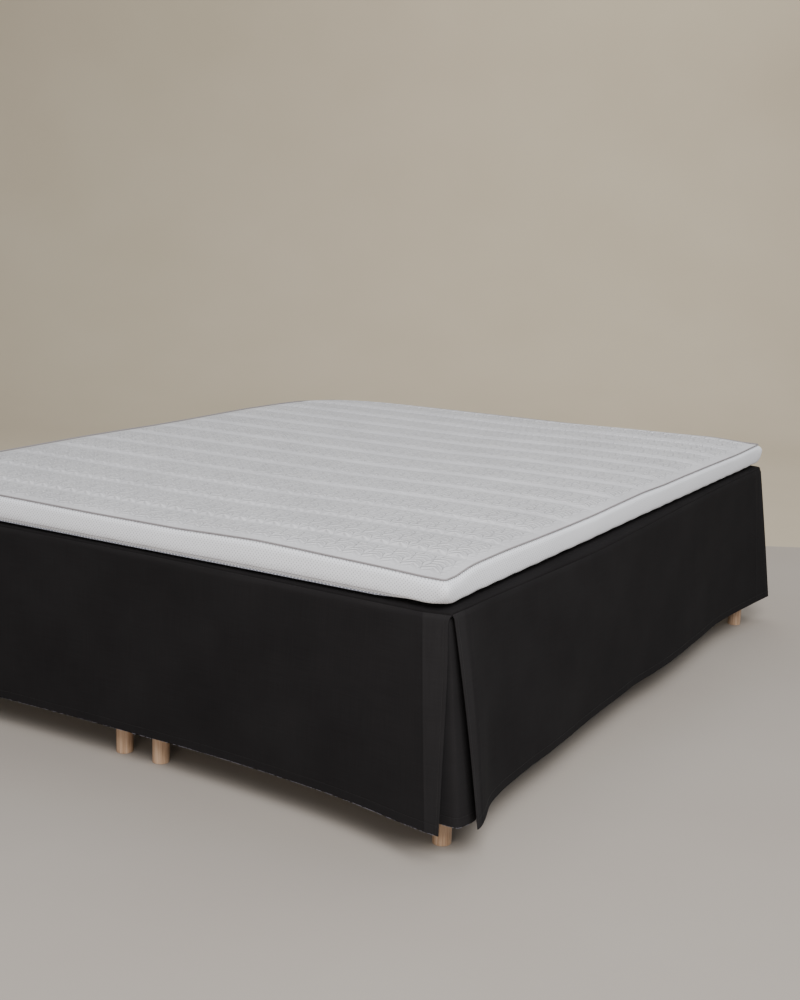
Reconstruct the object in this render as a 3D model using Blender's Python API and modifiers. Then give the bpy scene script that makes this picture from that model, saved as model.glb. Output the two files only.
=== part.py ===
"""Bed skirt on a 160 x 200 cm double bed.

The skirt is a deck sheet with four drop panels sewn round it, open at the corners, with a
loose underlay behind each open corner. It is shown on the bed that it fits: two 80 x 200 cm
box bases on round legs, with a topper that holds the deck down.

Metres, +Z up, floor at z = 0, origin on the floor under the middle of the bed.
The foot end faces -Y, the head end +Y, the right-hand side +X.
"""
import math

import bmesh
import bpy
import numpy
from mathutils import Matrix, Vector

# ---- driving dimensions -------------------------------------------------------------------
BED_WIDTH = 1.600
BED_LENGTH = 2.000
BASE_TOP = 0.500            # top of the box bases
BASE_BOTTOM = 0.170         # leg length
BASE_GAP = 0.004            # between the two bases
BASE_ROUNDING = 0.026       # radius of a base's upper edges and corners
BASE_FOOT_ROUNDING = 0.08   # share of it along the lower edges
ROUNDING_STEPS = 3

CLOTH = 0.0020              # thickness of one layer as built
HEM_THICKNESS = 0.0030      # cloth turned up twice along the hem
HEM_DEPTH = 0.020           # depth of that turning
HEM_ROWS = 2                # lowest rows of a panel's points, which are in its hem
SEAM_HEIGHT = 0.4950        # where the drops are sewn to the deck, before its dips
HEM_HEIGHT = 0.080          # lower edge of the skirt above the floor
SEAM_GAP = 0.0008           # between the deck's rim and a drop's top edge
DECK_REST = 0.0005          # between the bases and the deck
DECK_TURN = 0.020           # how far inside the bed's edge the deck starts to turn down
DECK_TURN_STEPS = 3
DECK_LIP = 0.0022           # upright strip above the seam
DECK_CORNER_CUT = 0.005     # cut off the corners of the deck's flat part
ROLL_DEPTH = 0.0125         # a drop leans out this far below the seam ...
ROLL_OUT = 0.0030           # ... by this much, as it rolls over the bed's edge

LEG_TOP_DIAMETER = 0.0400
LEG_FOOT_DIAMETER = 0.0390
LEG_CHAMFER = 0.0015
LEG_FROM_SIDE = 0.019       # leg axis to the bed's long side
LEG_FROM_END = 0.048        # leg axis to the bed's end
LEG_FROM_MIDDLE = 0.0535    # inner leg axis to the bed's middle line
LEG_TOP_GAP = 0.0003
LEG_SIDES = 20

TOPPER_WIDTH = 1.604
TOPPER_LENGTH = 2.036
TOPPER_CORNER = 0.050       # plan radius at its underside
TOPPER_REST = 0.0005        # between the deck and the topper
TOPPER_EDGE = 0.060         # height of its border
CROWN_LEFT = 0.0105         # how far its middle stands above the border, on the left
CROWN_RIGHT = 0.0175        # the same on the right, where the foam is fuller
CROWN_STEP = (0.05, 0.45)   # x where the one starts to turn into the other, and where it ends
CROWN_REACH = 0.035         # the crown rises within about this far of the edge
CHANNEL_FIRST = -0.905      # y of the quilting channel nearest the foot
CHANNEL_PITCH = 0.1545
CHANNEL_DEPTH = 0.004
CHANNEL_HALF_WIDTH = 0.018
CHANNEL_FADE = 0.050        # the channels run out this far from the edge
CHANNEL_SHOULDER = 0.3      # share of the pitch at which the top is full again
# Rings of the topper's border from its top edge down: inset from the widest outline, height
# above the underside, plan radius of the corners, and how far the corners swell.
BORDER_COLUMNS = ("inset", "height", "corner", "swell")
BORDER_RINGS = (
    (0.0110, 0.0600, 0.010, 0.0000),
    (0.0025, 0.0530, 0.011, 0.0015),
    (0.0000, 0.0420, 0.015, 0.0050),
    (0.0030, 0.0250, 0.025, 0.0020),
    (0.0120, 0.0095, 0.040, 0.0000),
    (0.0190, 0.0020, 0.046, 0.0000),
    (0.0260, 0.0000, 0.050, 0.0000),
)
SWELL_REACH = 0.050
# Piping round the topper: inset and height of its middle, radius, plan radius of the corners.
PIPING_COLUMNS = ("inset", "height", "radius", "corner")
TOP_PIPING = (0.0084, 0.0616, 0.0020, 0.009)
LOW_PIPING = (0.0078, 0.0088, 0.0024, 0.042)
PIPING_CORNER_STEPS = 6
PIPING_LEAST_STEP = 0.006   # no two of its points along a side and a corner are closer
# How far the topper's top edge rides up (or down) along the foot and the head, at each x
# from corner to corner.
ACROSS_COLUMNS = ("x", "foot", "head")
ACROSS_LIFT = (
    (-0.752, 0.0019, -0.0064),
    (-0.600, 0.0019, -0.0064),
    (-0.350, 0.0031, -0.0047),
    (-0.100, 0.0011, -0.0032),
    (0.150, 0.0017, -0.0024),
    (0.250, 0.0049, -0.0007),
    (0.350, 0.0075, 0.0013),
    (0.450, 0.0055, 0.0030),
    (0.550, 0.0026, 0.0048),
    (0.650, 0.0002, 0.0072),
    (0.752, -0.0036, 0.0022),
)
# The same beside each quilting channel, from the foot to the head.
CHANNEL_COLUMNS = ("right", "left")
CHANNEL_LIFT = (
    (0.0048, 0.0000),
    (0.0055, 0.0010),
    (0.0028, 0.0020),
    (0.0012, 0.0030),
    (0.0007, 0.0038),
    (0.0032, 0.0028),
    (0.0052, 0.0008),
    (0.0021, 0.0008),
    (0.0023, 0.0018),
    (0.0017, 0.0028),
    (0.0007, 0.0008),
    (-0.0009, -0.0022),
)
LIFT_REACH = 0.060          # the top levels out within about this far of the edge

# ---- how each piece of cloth hangs ---------------------------------------------------------
# One row for each column of points down a drop. "seam" and "hem" are places along the side,
# measured from its middle; "seam_out" and "hem_out" are how far outside the bed the cloth is
# there; "belly" is how far it stands out at half height; "dip" is how far the seam sags.
# The last rows at each end are the flap beside an open corner: its free edge swings out, and
# a pressed crease a hand's width from that edge turns it a little towards the corner.
HANG_COLUMNS = ("seam", "hem", "seam_out", "hem_out", "belly", "dip")
END_DROP = (
    (-0.806, -0.842, 0.0015, 0.0840, 0.000, 0.0030),
    (-0.750, -0.8125, 0.0115, 0.0814, 0.002, 0.0040),
    (-0.700, -0.735, 0.0108, 0.0680, 0.001, 0.0040),
    (-0.640, -0.660, 0.0105, 0.0500, 0.000, 0.0035),
    (-0.540, -0.545, 0.0105, 0.0345, 0.000, 0.0030),
    (-0.400, -0.400, 0.0105, 0.0200, 0.002, 0.0015),
    (-0.230, -0.230, 0.0105, 0.0155, 0.001, 0.0005),
    (-0.080, -0.080, 0.0105, 0.0130, 0.000, 0.0000),
    (0.080, 0.080, 0.0105, 0.0120, 0.000, 0.0000),
    (0.250, 0.250, 0.0105, 0.0150, 0.002, 0.0010),
    (0.400, 0.400, 0.0105, 0.0220, 0.003, 0.0020),
    (0.540, 0.545, 0.0105, 0.0345, 0.001, 0.0030),
    (0.640, 0.660, 0.0105, 0.0500, 0.000, 0.0035),
    (0.700, 0.735, 0.0108, 0.0680, 0.001, 0.0040),
    (0.750, 0.8125, 0.0115, 0.0814, 0.002, 0.0040),
    (0.806, 0.842, 0.0015, 0.0840, 0.000, 0.0030),
)
SIDE_DROP = (
    (-0.9975, -1.012, 0.0065, 0.0900, 0.003, 0.0020),
    (-0.968, -1.000, 0.0080, 0.0892, 0.003, 0.0020),
    (-0.937, -0.985, 0.0095, 0.0858, 0.004, 0.0020),
    (-0.917, -0.955, 0.0095, 0.0775, 0.002, 0.0021),
    (-0.898, -0.925, 0.0095, 0.0665, 0.002, 0.0022),
    (-0.878, -0.900, 0.0095, 0.0560, 0.001, 0.0024),
    (-0.850, -0.868, 0.0098, 0.0475, 0.000, 0.0027),
    (-0.810, -0.820, 0.0105, 0.0430, 0.000, 0.0032),
    (-0.700, -0.705, 0.0125, 0.0400, 0.002, 0.0045),
    (-0.560, -0.560, 0.0145, 0.0375, 0.005, 0.0065),
    (-0.440, -0.440, 0.0165, 0.0340, 0.006, 0.0080),
    (-0.330, -0.330, 0.0180, 0.0275, 0.006, 0.0090),
    (-0.170, -0.170, 0.0170, 0.0250, 0.004, 0.0080),
    (0.000, 0.000, 0.0150, 0.0240, 0.002, 0.0060),
    (0.160, 0.160, 0.0130, 0.0320, 0.000, 0.0040),
    (0.350, 0.350, 0.0110, 0.0300, 0.001, 0.0020),
    (0.520, 0.520, 0.0095, 0.0235, 0.002, 0.0010),
    (0.670, 0.670, 0.0090, 0.0180, 0.001, 0.0000),
    (0.840, 0.845, 0.0088, 0.0300, 0.000, 0.0000),
    (0.930, 0.955, 0.0092, 0.0420, 0.002, 0.0010),
    (0.9975, 1.053, 0.0065, 0.0540, 0.001, 0.0020),
)
# Heights down a drop, as shares of its depth; the roll's and the hem's rows are added.
DROP_ROWS = (0.0, 0.14, 0.30, 0.48, 0.66, 0.82)

# One row for each column of an underlay, from its end behind the end drop to its end behind
# the side drop. "beside" is outward from the bed's long side and "beyond" outward from its
# end, both measured from the bed's corner, at the seam and at the hem.
UNDERLAY_COLUMNS = ("seam_beside", "seam_beyond", "hem_beside", "hem_beyond")
WIDE_UNDERLAY = (
    (-0.0850, 0.0045, -0.040, 0.030),
    (-0.0450, 0.0070, 0.000, 0.033),
    (-0.0200, 0.0036, 0.025, 0.034),
    (-0.0060, 0.0005, 0.046, 0.035),
    (-0.0015, -0.0015, 0.058, 0.030),
    (0.0005, -0.0060, 0.062, 0.018),
    (0.0036, -0.0200, 0.066, 0.000),
    (0.0045, -0.0500, 0.070, -0.020),
    (0.0045, -0.0850, 0.052, -0.060),
)
NARROW_UNDERLAY = (
    (-0.0850, 0.0045, -0.050, 0.030),
    (-0.0450, 0.0070, -0.012, 0.032),
    (-0.0200, 0.0036, 0.010, 0.031),
    (-0.0060, 0.0005, 0.024, 0.029),
    (-0.0015, -0.0015, 0.032, 0.024),
    (0.0005, -0.0060, 0.035, 0.014),
    (0.0036, -0.0200, 0.036, 0.000),
    (0.0045, -0.0500, 0.034, -0.020),
    (0.0045, -0.0850, 0.028, -0.060),
)
UNDERLAY_ROWS = (0.0, 0.15, 0.36, 0.58, 0.80)
UNDERLAY_TUCK = 0.005       # how far below the seam its top edge is

# ---- colours (linear RGB), roughness ---------------------------------------------------------
BLACK_COTTON = ((0.014, 0.013, 0.014), 0.80)
PALE_TICKING = ((0.56, 0.55, 0.52), 0.90)
OILED_OAK = ((0.45, 0.29, 0.16), 0.55)
WHITE_KNIT = ((0.62, 0.64, 0.66), 0.85)
GREY_PIPING = ((0.30, 0.29, 0.31), 0.75)


def clear_scene():
    for old in list(bpy.data.objects):
        bpy.data.objects.remove(old, do_unlink=True)
    for old in list(bpy.data.collections):
        bpy.data.collections.remove(old)


def new_collection(name):
    made = bpy.data.collections.new(name)
    bpy.context.scene.collection.children.link(made)
    return made


def make_material(name, finish):
    """A plain Principled material from a (colour, roughness) pair."""
    colour, roughness = finish
    material = bpy.data.materials.new(name)
    material.use_nodes = True
    shader = material.node_tree.nodes["Principled BSDF"]
    shader.inputs["Base Color"].default_value = (*colour, 1.0)
    shader.inputs["Roughness"].default_value = roughness
    shader.inputs["Metallic"].default_value = 0.0
    return material


def add_object(name, data, material, collection):
    """Put a mesh or curve into the collection as a named object with one material."""
    made = bpy.data.objects.new(name, data)
    data.materials.append(material)
    collection.objects.link(made)
    return made


def rows_by_name(columns, table):
    """Each table row as a dictionary keyed by its column's name."""
    return [dict(zip(columns, row)) for row in table]


# ---- cloth -----------------------------------------------------------------------------------
def cloth_sheet(name, across, down, place, material, collection):
    """A cut panel hung by place(column, share): a grid thickened by Solidify.

    across is the number of columns, and down the heights as shares of the drop.
    """
    panel = bmesh.new()
    bmesh.ops.create_grid(panel, x_segments=across - 1, y_segments=len(down) - 1, size=1.0)
    thickness = panel.verts.layers.deform.verify()
    for vert in panel.verts:
        column = round((vert.co.x + 1.0) / 2.0 * (across - 1))
        row = round((1.0 - vert.co.y) / 2.0 * (len(down) - 1))
        in_hem = row >= len(down) - HEM_ROWS
        vert[thickness][0] = 1.0 if in_hem else CLOTH / HEM_THICKNESS
        vert.co = place(column, down[row])
    mesh = bpy.data.meshes.new(name)
    panel.to_mesh(mesh)
    panel.free()
    sheet = add_object(name, mesh, material, collection)
    sheet.vertex_groups.new(name="layers")
    solidify = sheet.modifiers.new("layers", "SOLIDIFY")
    solidify.thickness = HEM_THICKNESS
    solidify.vertex_group = "layers"
    solidify.offset = 0.0
    solidify.use_even_offset = True
    return sheet


def side_frame(turn):
    """World matrix of a side: local x along it, -y outward, for a quarter turn count."""
    return Matrix.Rotation(turn * math.pi / 2.0, 4, "Z")


def hang_drop(name, table, half_depth, turn, material, collection):
    """One drop panel. half_depth is the bed's middle to that side's face."""
    rows = rows_by_name(HANG_COLUMNS, table)
    frame = side_frame(turn)
    full_drop = SEAM_HEIGHT - HEM_HEIGHT
    roll_share = ROLL_DEPTH / full_drop
    hem_share = 1.0 - HEM_DEPTH / full_drop
    down = sorted((*DROP_ROWS, roll_share, hem_share, 1.0))

    def place(column, share):
        row = rows[column]
        rolled = min(share / roll_share, 1.0)
        out = row["seam_out"] + (row["hem_out"] - row["seam_out"]) * share
        out += row["belly"] * math.sin(math.pi * share)
        out += ROLL_OUT * rolled * (1.0 - share)
        along = row["seam"] + (row["hem"] - row["seam"]) * share
        top = SEAM_HEIGHT - row["dip"]
        return frame @ Vector((along, -half_depth - out, top + (HEM_HEIGHT - top) * share))

    return cloth_sheet(name, len(rows), down, place, material, collection)


def hang_underlay(name, table, flip, turn, material, collection):
    """The loose piece behind an open corner. flip is -1 for a mirrored corner."""
    rows = rows_by_name(UNDERLAY_COLUMNS, table)
    half_turn = Matrix.Rotation(turn * math.pi, 4, "Z")
    top = SEAM_HEIGHT - UNDERLAY_TUCK
    hem_share = 1.0 - HEM_DEPTH / (top - HEM_HEIGHT)
    down = (*UNDERLAY_ROWS, hem_share, 1.0)

    def place(column, share):
        row = rows[column]
        beside = row["seam_beside"] + (row["hem_beside"] - row["seam_beside"]) * share
        beyond = row["seam_beyond"] + (row["hem_beyond"] - row["seam_beyond"]) * share
        height = top + (HEM_HEIGHT - top) * share
        corner = Vector((flip * (BED_WIDTH / 2.0 + beside), -BED_LENGTH / 2.0 - beyond, height))
        return half_turn @ corner

    return cloth_sheet(name, len(rows), down, place, material, collection)


def deck_outline():
    """Pairs of points all round: on the seam, and where the deck starts to turn down."""
    flat_height = BASE_TOP + DECK_REST + CLOTH / 2.0
    half_length = BED_LENGTH / 2.0
    half_width = BED_WIDTH / 2.0
    sides = (
        (END_DROP, half_length, half_width, 0),
        (SIDE_DROP, half_width, half_length, 1),
        (END_DROP, half_length, half_width, 2),
        (SIDE_DROP, half_width, half_length, 3),
    )
    pairs = []
    for table, half_depth, half_along, turn in sides:
        frame = side_frame(turn)
        flat_along = half_along - DECK_TURN - DECK_CORNER_CUT
        for row in rows_by_name(HANG_COLUMNS, table):
            height = SEAM_HEIGHT - row["dip"] + SEAM_GAP
            seam = Vector((row["seam"], -half_depth - row["seam_out"], height))
            along = max(-flat_along, min(flat_along, row["seam"]))
            flat = Vector((along, -half_depth + DECK_TURN, flat_height))
            pairs.append((frame @ seam, frame @ flat))
    return pairs


def make_deck(material, collection):
    """The deck sheet: flat over the bases, and turned down over their edge to the seam."""
    outline = deck_outline()
    deck = bmesh.new()
    rings = []
    for step in range(DECK_TURN_STEPS + 1):
        angle = step / DECK_TURN_STEPS * math.pi / 2.0
        ring = []
        for seam, flat in outline:
            lip = seam.z + DECK_LIP
            place = flat.lerp(seam, math.sin(angle))
            place.z = lip + (flat.z - lip) * math.cos(angle)
            ring.append(deck.verts.new(place))
        rings.append(ring)
    rings.append([deck.verts.new(seam) for seam, flat in outline])
    deck.faces.new(rings[0])
    for inner_ring, outer_ring in zip(rings, rings[1:]):
        for i in range(len(inner_ring)):
            deck.faces.new((inner_ring[i - 1], outer_ring[i - 1], outer_ring[i], inner_ring[i]))
    mesh = bpy.data.meshes.new("skirt_deck")
    deck.to_mesh(mesh)
    deck.free()
    sheet = add_object("skirt_deck", mesh, material, collection)
    solidify = sheet.modifiers.new("layer", "SOLIDIFY")
    solidify.thickness = CLOTH
    solidify.offset = 0.0
    solidify.use_even_offset = True
    return sheet


# ---- the bed under the skirt -----------------------------------------------------------------
def make_base(name, middle_x, material, collection):
    """One box base: a block with all its edges rounded."""
    width = (BED_WIDTH - BASE_GAP) / 2.0
    block = bmesh.new()
    bmesh.ops.create_cube(block, size=1.0)
    size = Matrix.Diagonal((width, BED_LENGTH, BASE_TOP - BASE_BOTTOM, 1.0))
    bmesh.ops.transform(block, matrix=size, verts=block.verts)
    share = block.edges.layers.float.new("bevel_weight_edge")
    for edge in block.edges:
        lower = all(vert.co.z < 0.0 for vert in edge.verts)
        edge[share] = BASE_FOOT_ROUNDING if lower else 1.0
    mesh = bpy.data.meshes.new(name)
    block.to_mesh(mesh)
    block.free()
    base = add_object(name, mesh, material, collection)
    base.location = (middle_x, 0.0, (BASE_TOP + BASE_BOTTOM) / 2.0)
    bevel = base.modifiers.new("rounding", "BEVEL")
    bevel.limit_method = "WEIGHT"
    bevel.width = BASE_ROUNDING
    bevel.segments = ROUNDING_STEPS
    return base


def leg_mesh(material):
    """A turned leg, its foot on z = 0: a profile on +X, top to bottom, swept by Screw."""
    top = BASE_BOTTOM - LEG_TOP_GAP
    top_radius = LEG_TOP_DIAMETER / 2.0
    foot_radius = LEG_FOOT_DIAMETER / 2.0
    profile = (
        (0.0, top),
        (top_radius, top),
        (foot_radius, LEG_CHAMFER),
        (foot_radius - LEG_CHAMFER, 0.0),
        (0.0, 0.0),
    )
    outline = bmesh.new()
    points = [outline.verts.new((radius, 0.0, height)) for radius, height in profile]
    for upper, lower in zip(points, points[1:]):
        outline.edges.new((upper, lower))
    mesh = bpy.data.meshes.new("leg")
    outline.to_mesh(mesh)
    outline.free()
    mesh.materials.append(material)
    return mesh


def make_legs(material, collection):
    """Four legs under each base, at its corners."""
    mesh = leg_mesh(material)
    outer_x = BED_WIDTH / 2.0 - LEG_FROM_SIDE
    end_y = BED_LENGTH / 2.0 - LEG_FROM_END
    columns = (("left", -outer_x), ("mid_left", -LEG_FROM_MIDDLE),
               ("mid_right", LEG_FROM_MIDDLE), ("right", outer_x))
    for end, y in (("foot", -end_y), ("head", end_y)):
        for column, x in columns:
            leg = bpy.data.objects.new(f"leg_{end}_{column}", mesh)
            collection.objects.link(leg)
            leg.location = (x, y, 0.0)
            screw = leg.modifiers.new("turning", "SCREW")
            screw.steps = LEG_SIDES
            screw.render_steps = LEG_SIDES
            screw.use_merge_vertices = True
            screw.merge_threshold = 0.0001


def corner_radius(x, y, radius):
    """The topper's corner at the head's left is slack, and rounder than the others."""
    return TOPPER_CORNER if x < 0.0 < y else radius


def rounded_plan(x, y, half_x, half_y, radius):
    """A point of a rectangular grid moved onto a rectangle with round corners."""
    over_x = abs(x) - (half_x - radius)
    over_y = abs(y) - (half_y - radius)
    if over_x <= 0.0 or over_y <= 0.0:
        return x, y
    pull = max(over_x, over_y) / math.hypot(over_x, over_y)
    round_x = half_x - radius + over_x * pull
    round_y = half_y - radius + over_y * pull
    return math.copysign(round_x, x), math.copysign(round_y, y)


def channel_places():
    """y of each quilting channel."""
    return [CHANNEL_FIRST + step * CHANNEL_PITCH for step in range(len(CHANNEL_LIFT))]


def edge_lifts():
    """For each side of the topper: the places along it, and how far its top edge rides up."""
    across = rows_by_name(ACROSS_COLUMNS, ACROSS_LIFT)
    beside = rows_by_name(CHANNEL_COLUMNS, CHANNEL_LIFT)
    end_y = TOPPER_LENGTH / 2.0 - TOPPER_CORNER
    places_x = [row["x"] for row in across]
    places_y = [-end_y, *channel_places(), end_y]
    lifts = {side: (places_x, [row[side] for row in across]) for side in ("foot", "head")}
    for side, corner in (("left", across[0]), ("right", across[-1])):
        along = [corner["foot"], *(row[side] for row in beside), corner["head"]]
        lifts[side] = (places_y, along)
    return lifts


def lift_at(lifts, x, y):
    """How far the topper's top edge rides up at the place on its rim nearest to x, y."""
    if TOPPER_WIDTH / 2.0 - abs(x) < TOPPER_LENGTH / 2.0 - abs(y):
        return float(numpy.interp(y, *lifts["right" if x > 0.0 else "left"]))
    return float(numpy.interp(x, *lifts["head" if y > 0.0 else "foot"]))


def topper_rise(lifts, x, y):
    """Height of the topper's top above its border: its crown, less the channels."""
    half_x = TOPPER_WIDTH / 2.0
    half_y = TOPPER_LENGTH / 2.0
    to_edge = min(half_x - abs(x), half_y - abs(y))
    step = (x - CROWN_STEP[0]) / (CROWN_STEP[1] - CROWN_STEP[0])
    step = max(0.0, min(1.0, step))
    crown = CROWN_LEFT + (CROWN_RIGHT - CROWN_LEFT) * step * step * (3.0 - 2.0 * step)
    rise = crown * (1.0 - math.exp(-to_edge / CROWN_REACH))
    rise += lift_at(lifts, x, y) * math.exp(-to_edge / LIFT_REACH)
    away = min(abs(y - place) for place in channel_places())
    valley = CHANNEL_DEPTH * math.exp(-away / CHANNEL_HALF_WIDTH)
    return rise - valley * min(to_edge / CHANNEL_FADE, 1.0)


def topper_grid_lines(lifts):
    """x of the topper's columns and y of its rows."""
    half_x = TOPPER_WIDTH / 2.0
    half_y = TOPPER_LENGTH / 2.0
    columns = list(lifts["foot"][0])
    rows = list(lifts["right"][0])
    for place in channel_places():
        rows += [place + CHANNEL_PITCH * CHANNEL_SHOULDER]
        rows += [place + CHANNEL_PITCH * (1.0 - CHANNEL_SHOULDER)]
    rows = [row for row in rows if abs(row) <= half_y - TOPPER_CORNER]
    for side in (-1.0, 1.0):
        columns += [side * half_x, side * (half_x - TOPPER_CORNER / 2.0)]
        rows += [side * half_y, side * (half_y - TOPPER_CORNER / 2.0)]
    return sorted(columns), sorted(rows)


def make_topper(material, collection):
    """The topper: a quilted top over a soft border, on a flat underside."""
    lifts = edge_lifts()
    columns, rows = topper_grid_lines(lifts)
    rings = rows_by_name(BORDER_COLUMNS, BORDER_RINGS)
    underside = BASE_TOP + DECK_REST + CLOTH + TOPPER_REST
    pad = bmesh.new()
    bmesh.ops.create_grid(pad, x_segments=len(columns) - 1, y_segments=len(rows) - 1, size=1.0)
    # Each point keeps its place on the grid, so that every ring rounds its own corners.
    grid_x = pad.verts.layers.float.new("grid_x")
    grid_y = pad.verts.layers.float.new("grid_y")

    def place_on(ring, vert, height):
        half_x = TOPPER_WIDTH / 2.0 - ring["inset"]
        half_y = TOPPER_LENGTH / 2.0 - ring["inset"]
        x = vert[grid_x] * half_x / (TOPPER_WIDTH / 2.0)
        y = vert[grid_y] * half_y / (TOPPER_LENGTH / 2.0)
        radius = corner_radius(x, y, ring["corner"])
        to_corner = (half_x - abs(x)) + (half_y - abs(y))
        swell = ring["swell"] * math.exp(-to_corner / SWELL_REACH)
        x, y = rounded_plan(x, y, half_x, half_y, radius)
        vert.co = (x + math.copysign(swell, x), y + math.copysign(swell, y), underside + height)

    for vert in pad.verts:
        vert[grid_x] = columns[round((vert.co.x + 1.0) / 2.0 * (len(columns) - 1))]
        vert[grid_y] = rows[round((vert.co.y + 1.0) / 2.0 * (len(rows) - 1))]
        rise = topper_rise(lifts, vert[grid_x], vert[grid_y])
        place_on(rings[0], vert, TOPPER_EDGE + rise)
    edge = [item for item in pad.edges if item.is_boundary]
    for ring in rings[1:]:
        grown = bmesh.ops.extrude_edge_only(pad, edges=edge)["geom"]
        edge = [item for item in grown if isinstance(item, bmesh.types.BMEdge)]
        edge = [item for item in edge if item.is_boundary]
        for vert in {vert for item in edge for vert in item.verts}:
            lift = lift_at(lifts, vert[grid_x], vert[grid_y]) * ring["height"] / TOPPER_EDGE
            place_on(ring, vert, ring["height"] + lift)
    bmesh.ops.contextual_create(pad, geom=edge)
    bmesh.ops.recalc_face_normals(pad, faces=pad.faces)
    mesh = bpy.data.meshes.new("topper")
    pad.to_mesh(mesh)
    pad.free()
    return add_object("topper", mesh, material, collection)


# Round the topper from its corner at the foot's right: quarter turns to the corner's first
# point, the corner's signs in x and y, and the side that follows it.
CORNERS_AND_SIDES = (
    (-1, 1, -1, "right"),
    (0, 1, 1, "head"),
    (1, -1, 1, "left"),
    (2, -1, -1, "foot"),
)


def make_piping(name, sizes, material, collection):
    """A cord in its sleeve, sewn all round the topper's border."""
    size = dict(zip(PIPING_COLUMNS, sizes))
    lifts = edge_lifts()
    half_x = TOPPER_WIDTH / 2.0 - size["inset"]
    half_y = TOPPER_LENGTH / 2.0 - size["inset"]
    level = BASE_TOP + DECK_REST + CLOTH + TOPPER_REST + size["height"]
    outline = []
    for quarter, side_x, side_y, side in CORNERS_AND_SIDES:
        corner = corner_radius(side_x, side_y, size["corner"])
        for step in range(PIPING_CORNER_STEPS + 1):
            angle = (quarter + step / PIPING_CORNER_STEPS) * math.pi / 2.0
            x = side_x * (half_x - corner) + corner * math.cos(angle)
            y = side_y * (half_y - corner) + corner * math.sin(angle)
            outline.append((x, y))
        places = lifts[side][0]
        if side in ("right", "left"):
            stops = [(side_x * half_x, place) for place in places[::side_x]]
        else:
            stops = [(place, side_y * half_y) for place in places[::-side_y]]
        for x, y in stops:
            to_corner = half_x - abs(x) + half_y - abs(y)
            if to_corner > corner_radius(x, y, size["corner"]) + PIPING_LEAST_STEP:
                outline.append((x, y))
    cord = bpy.data.curves.new(name, "CURVE")
    cord.dimensions = "3D"
    cord.bevel_depth = size["radius"]
    cord.bevel_resolution = 2
    spline = cord.splines.new("POLY")
    spline.points.add(len(outline) - 1)
    for point, (x, y) in zip(spline.points, outline):
        lift = lift_at(lifts, x, y) * size["height"] / TOPPER_EDGE
        point.co = (x, y, level + lift, 1.0)
    spline.use_cyclic_u = True
    return add_object(name, cord, material, collection)


def shade_round(collection):
    for made in collection.objects:
        if made.type == "MESH":
            made.data.shade_smooth()
            made.data.set_sharp_from_angle(angle=math.radians(40.0))


def build():
    clear_scene()
    parts = new_collection("bed_skirt")
    cotton = make_material("black_cotton", BLACK_COTTON)
    ticking = make_material("pale_ticking", PALE_TICKING)
    oak = make_material("oiled_oak", OILED_OAK)
    knit = make_material("white_knit", WHITE_KNIT)
    piping = make_material("grey_piping", GREY_PIPING)

    make_deck(cotton, parts)
    hang_drop("drop_foot", END_DROP, BED_LENGTH / 2.0, 0, cotton, parts)
    hang_drop("drop_right", SIDE_DROP, BED_WIDTH / 2.0, 1, cotton, parts)
    hang_drop("drop_head", END_DROP, BED_LENGTH / 2.0, 2, cotton, parts)
    hang_drop("drop_left", SIDE_DROP, BED_WIDTH / 2.0, 3, cotton, parts)
    hang_underlay("underlay_foot_right", WIDE_UNDERLAY, 1, 0, cotton, parts)
    hang_underlay("underlay_foot_left", NARROW_UNDERLAY, -1, 0, cotton, parts)
    hang_underlay("underlay_head_left", WIDE_UNDERLAY, 1, 1, cotton, parts)
    hang_underlay("underlay_head_right", NARROW_UNDERLAY, -1, 1, cotton, parts)

    base_middle = (BED_WIDTH + BASE_GAP) / 4.0
    make_base("base_right", base_middle, ticking, parts)
    make_base("base_left", -base_middle, ticking, parts)
    make_legs(oak, parts)

    make_topper(knit, parts)
    make_piping("piping_top", TOP_PIPING, piping, parts)
    make_piping("piping_low", LOW_PIPING, piping, parts)
    shade_round(parts)


build()
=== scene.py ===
# %% [markdown]
# # A black bed skirt on its bed
#
# A bed skirt is a sheet as large as the bed, with a drop sewn to each of its four sides. The
# sheet lies under the topper, so only a dark margin of it shows, and the drops hide the box
# bases and most of the legs. The solids that this script loads already hang the right way.
# Each soft one is rebuilt here as a finer piece in the same place, with its hems, stitches
# and creases, and every piece gets the finish of its real material.

# %% Load the solids
import math

import bpy
import numpy as np
from mathutils import Matrix, Vector


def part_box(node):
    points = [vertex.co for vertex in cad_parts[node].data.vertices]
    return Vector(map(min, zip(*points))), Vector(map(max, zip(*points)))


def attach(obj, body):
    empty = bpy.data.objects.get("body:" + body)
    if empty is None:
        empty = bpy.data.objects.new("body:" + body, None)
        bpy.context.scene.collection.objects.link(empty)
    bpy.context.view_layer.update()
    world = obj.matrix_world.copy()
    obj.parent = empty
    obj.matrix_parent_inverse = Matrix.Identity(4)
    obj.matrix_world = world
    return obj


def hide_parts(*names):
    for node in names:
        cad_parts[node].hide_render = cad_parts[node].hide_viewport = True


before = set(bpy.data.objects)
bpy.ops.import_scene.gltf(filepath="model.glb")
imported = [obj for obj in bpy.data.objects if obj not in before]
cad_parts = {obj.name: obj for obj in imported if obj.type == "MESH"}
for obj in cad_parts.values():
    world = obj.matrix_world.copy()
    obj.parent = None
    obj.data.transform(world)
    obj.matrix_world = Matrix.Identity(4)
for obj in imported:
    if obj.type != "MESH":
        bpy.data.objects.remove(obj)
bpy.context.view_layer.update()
print("loaded", len(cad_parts), "solids")

# %% [markdown]
# ## Sizes
#
# Everything is in metres, with the floor at z = 0 and the middle of the bed over the origin.
# The bed is a 160 x 200 cm double, the foot end faces -Y and the right-hand side faces +X.
# These few sizes could be measured on each solid, but they are the ones that a maker would
# cut to, so they are written down once, by name.

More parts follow.
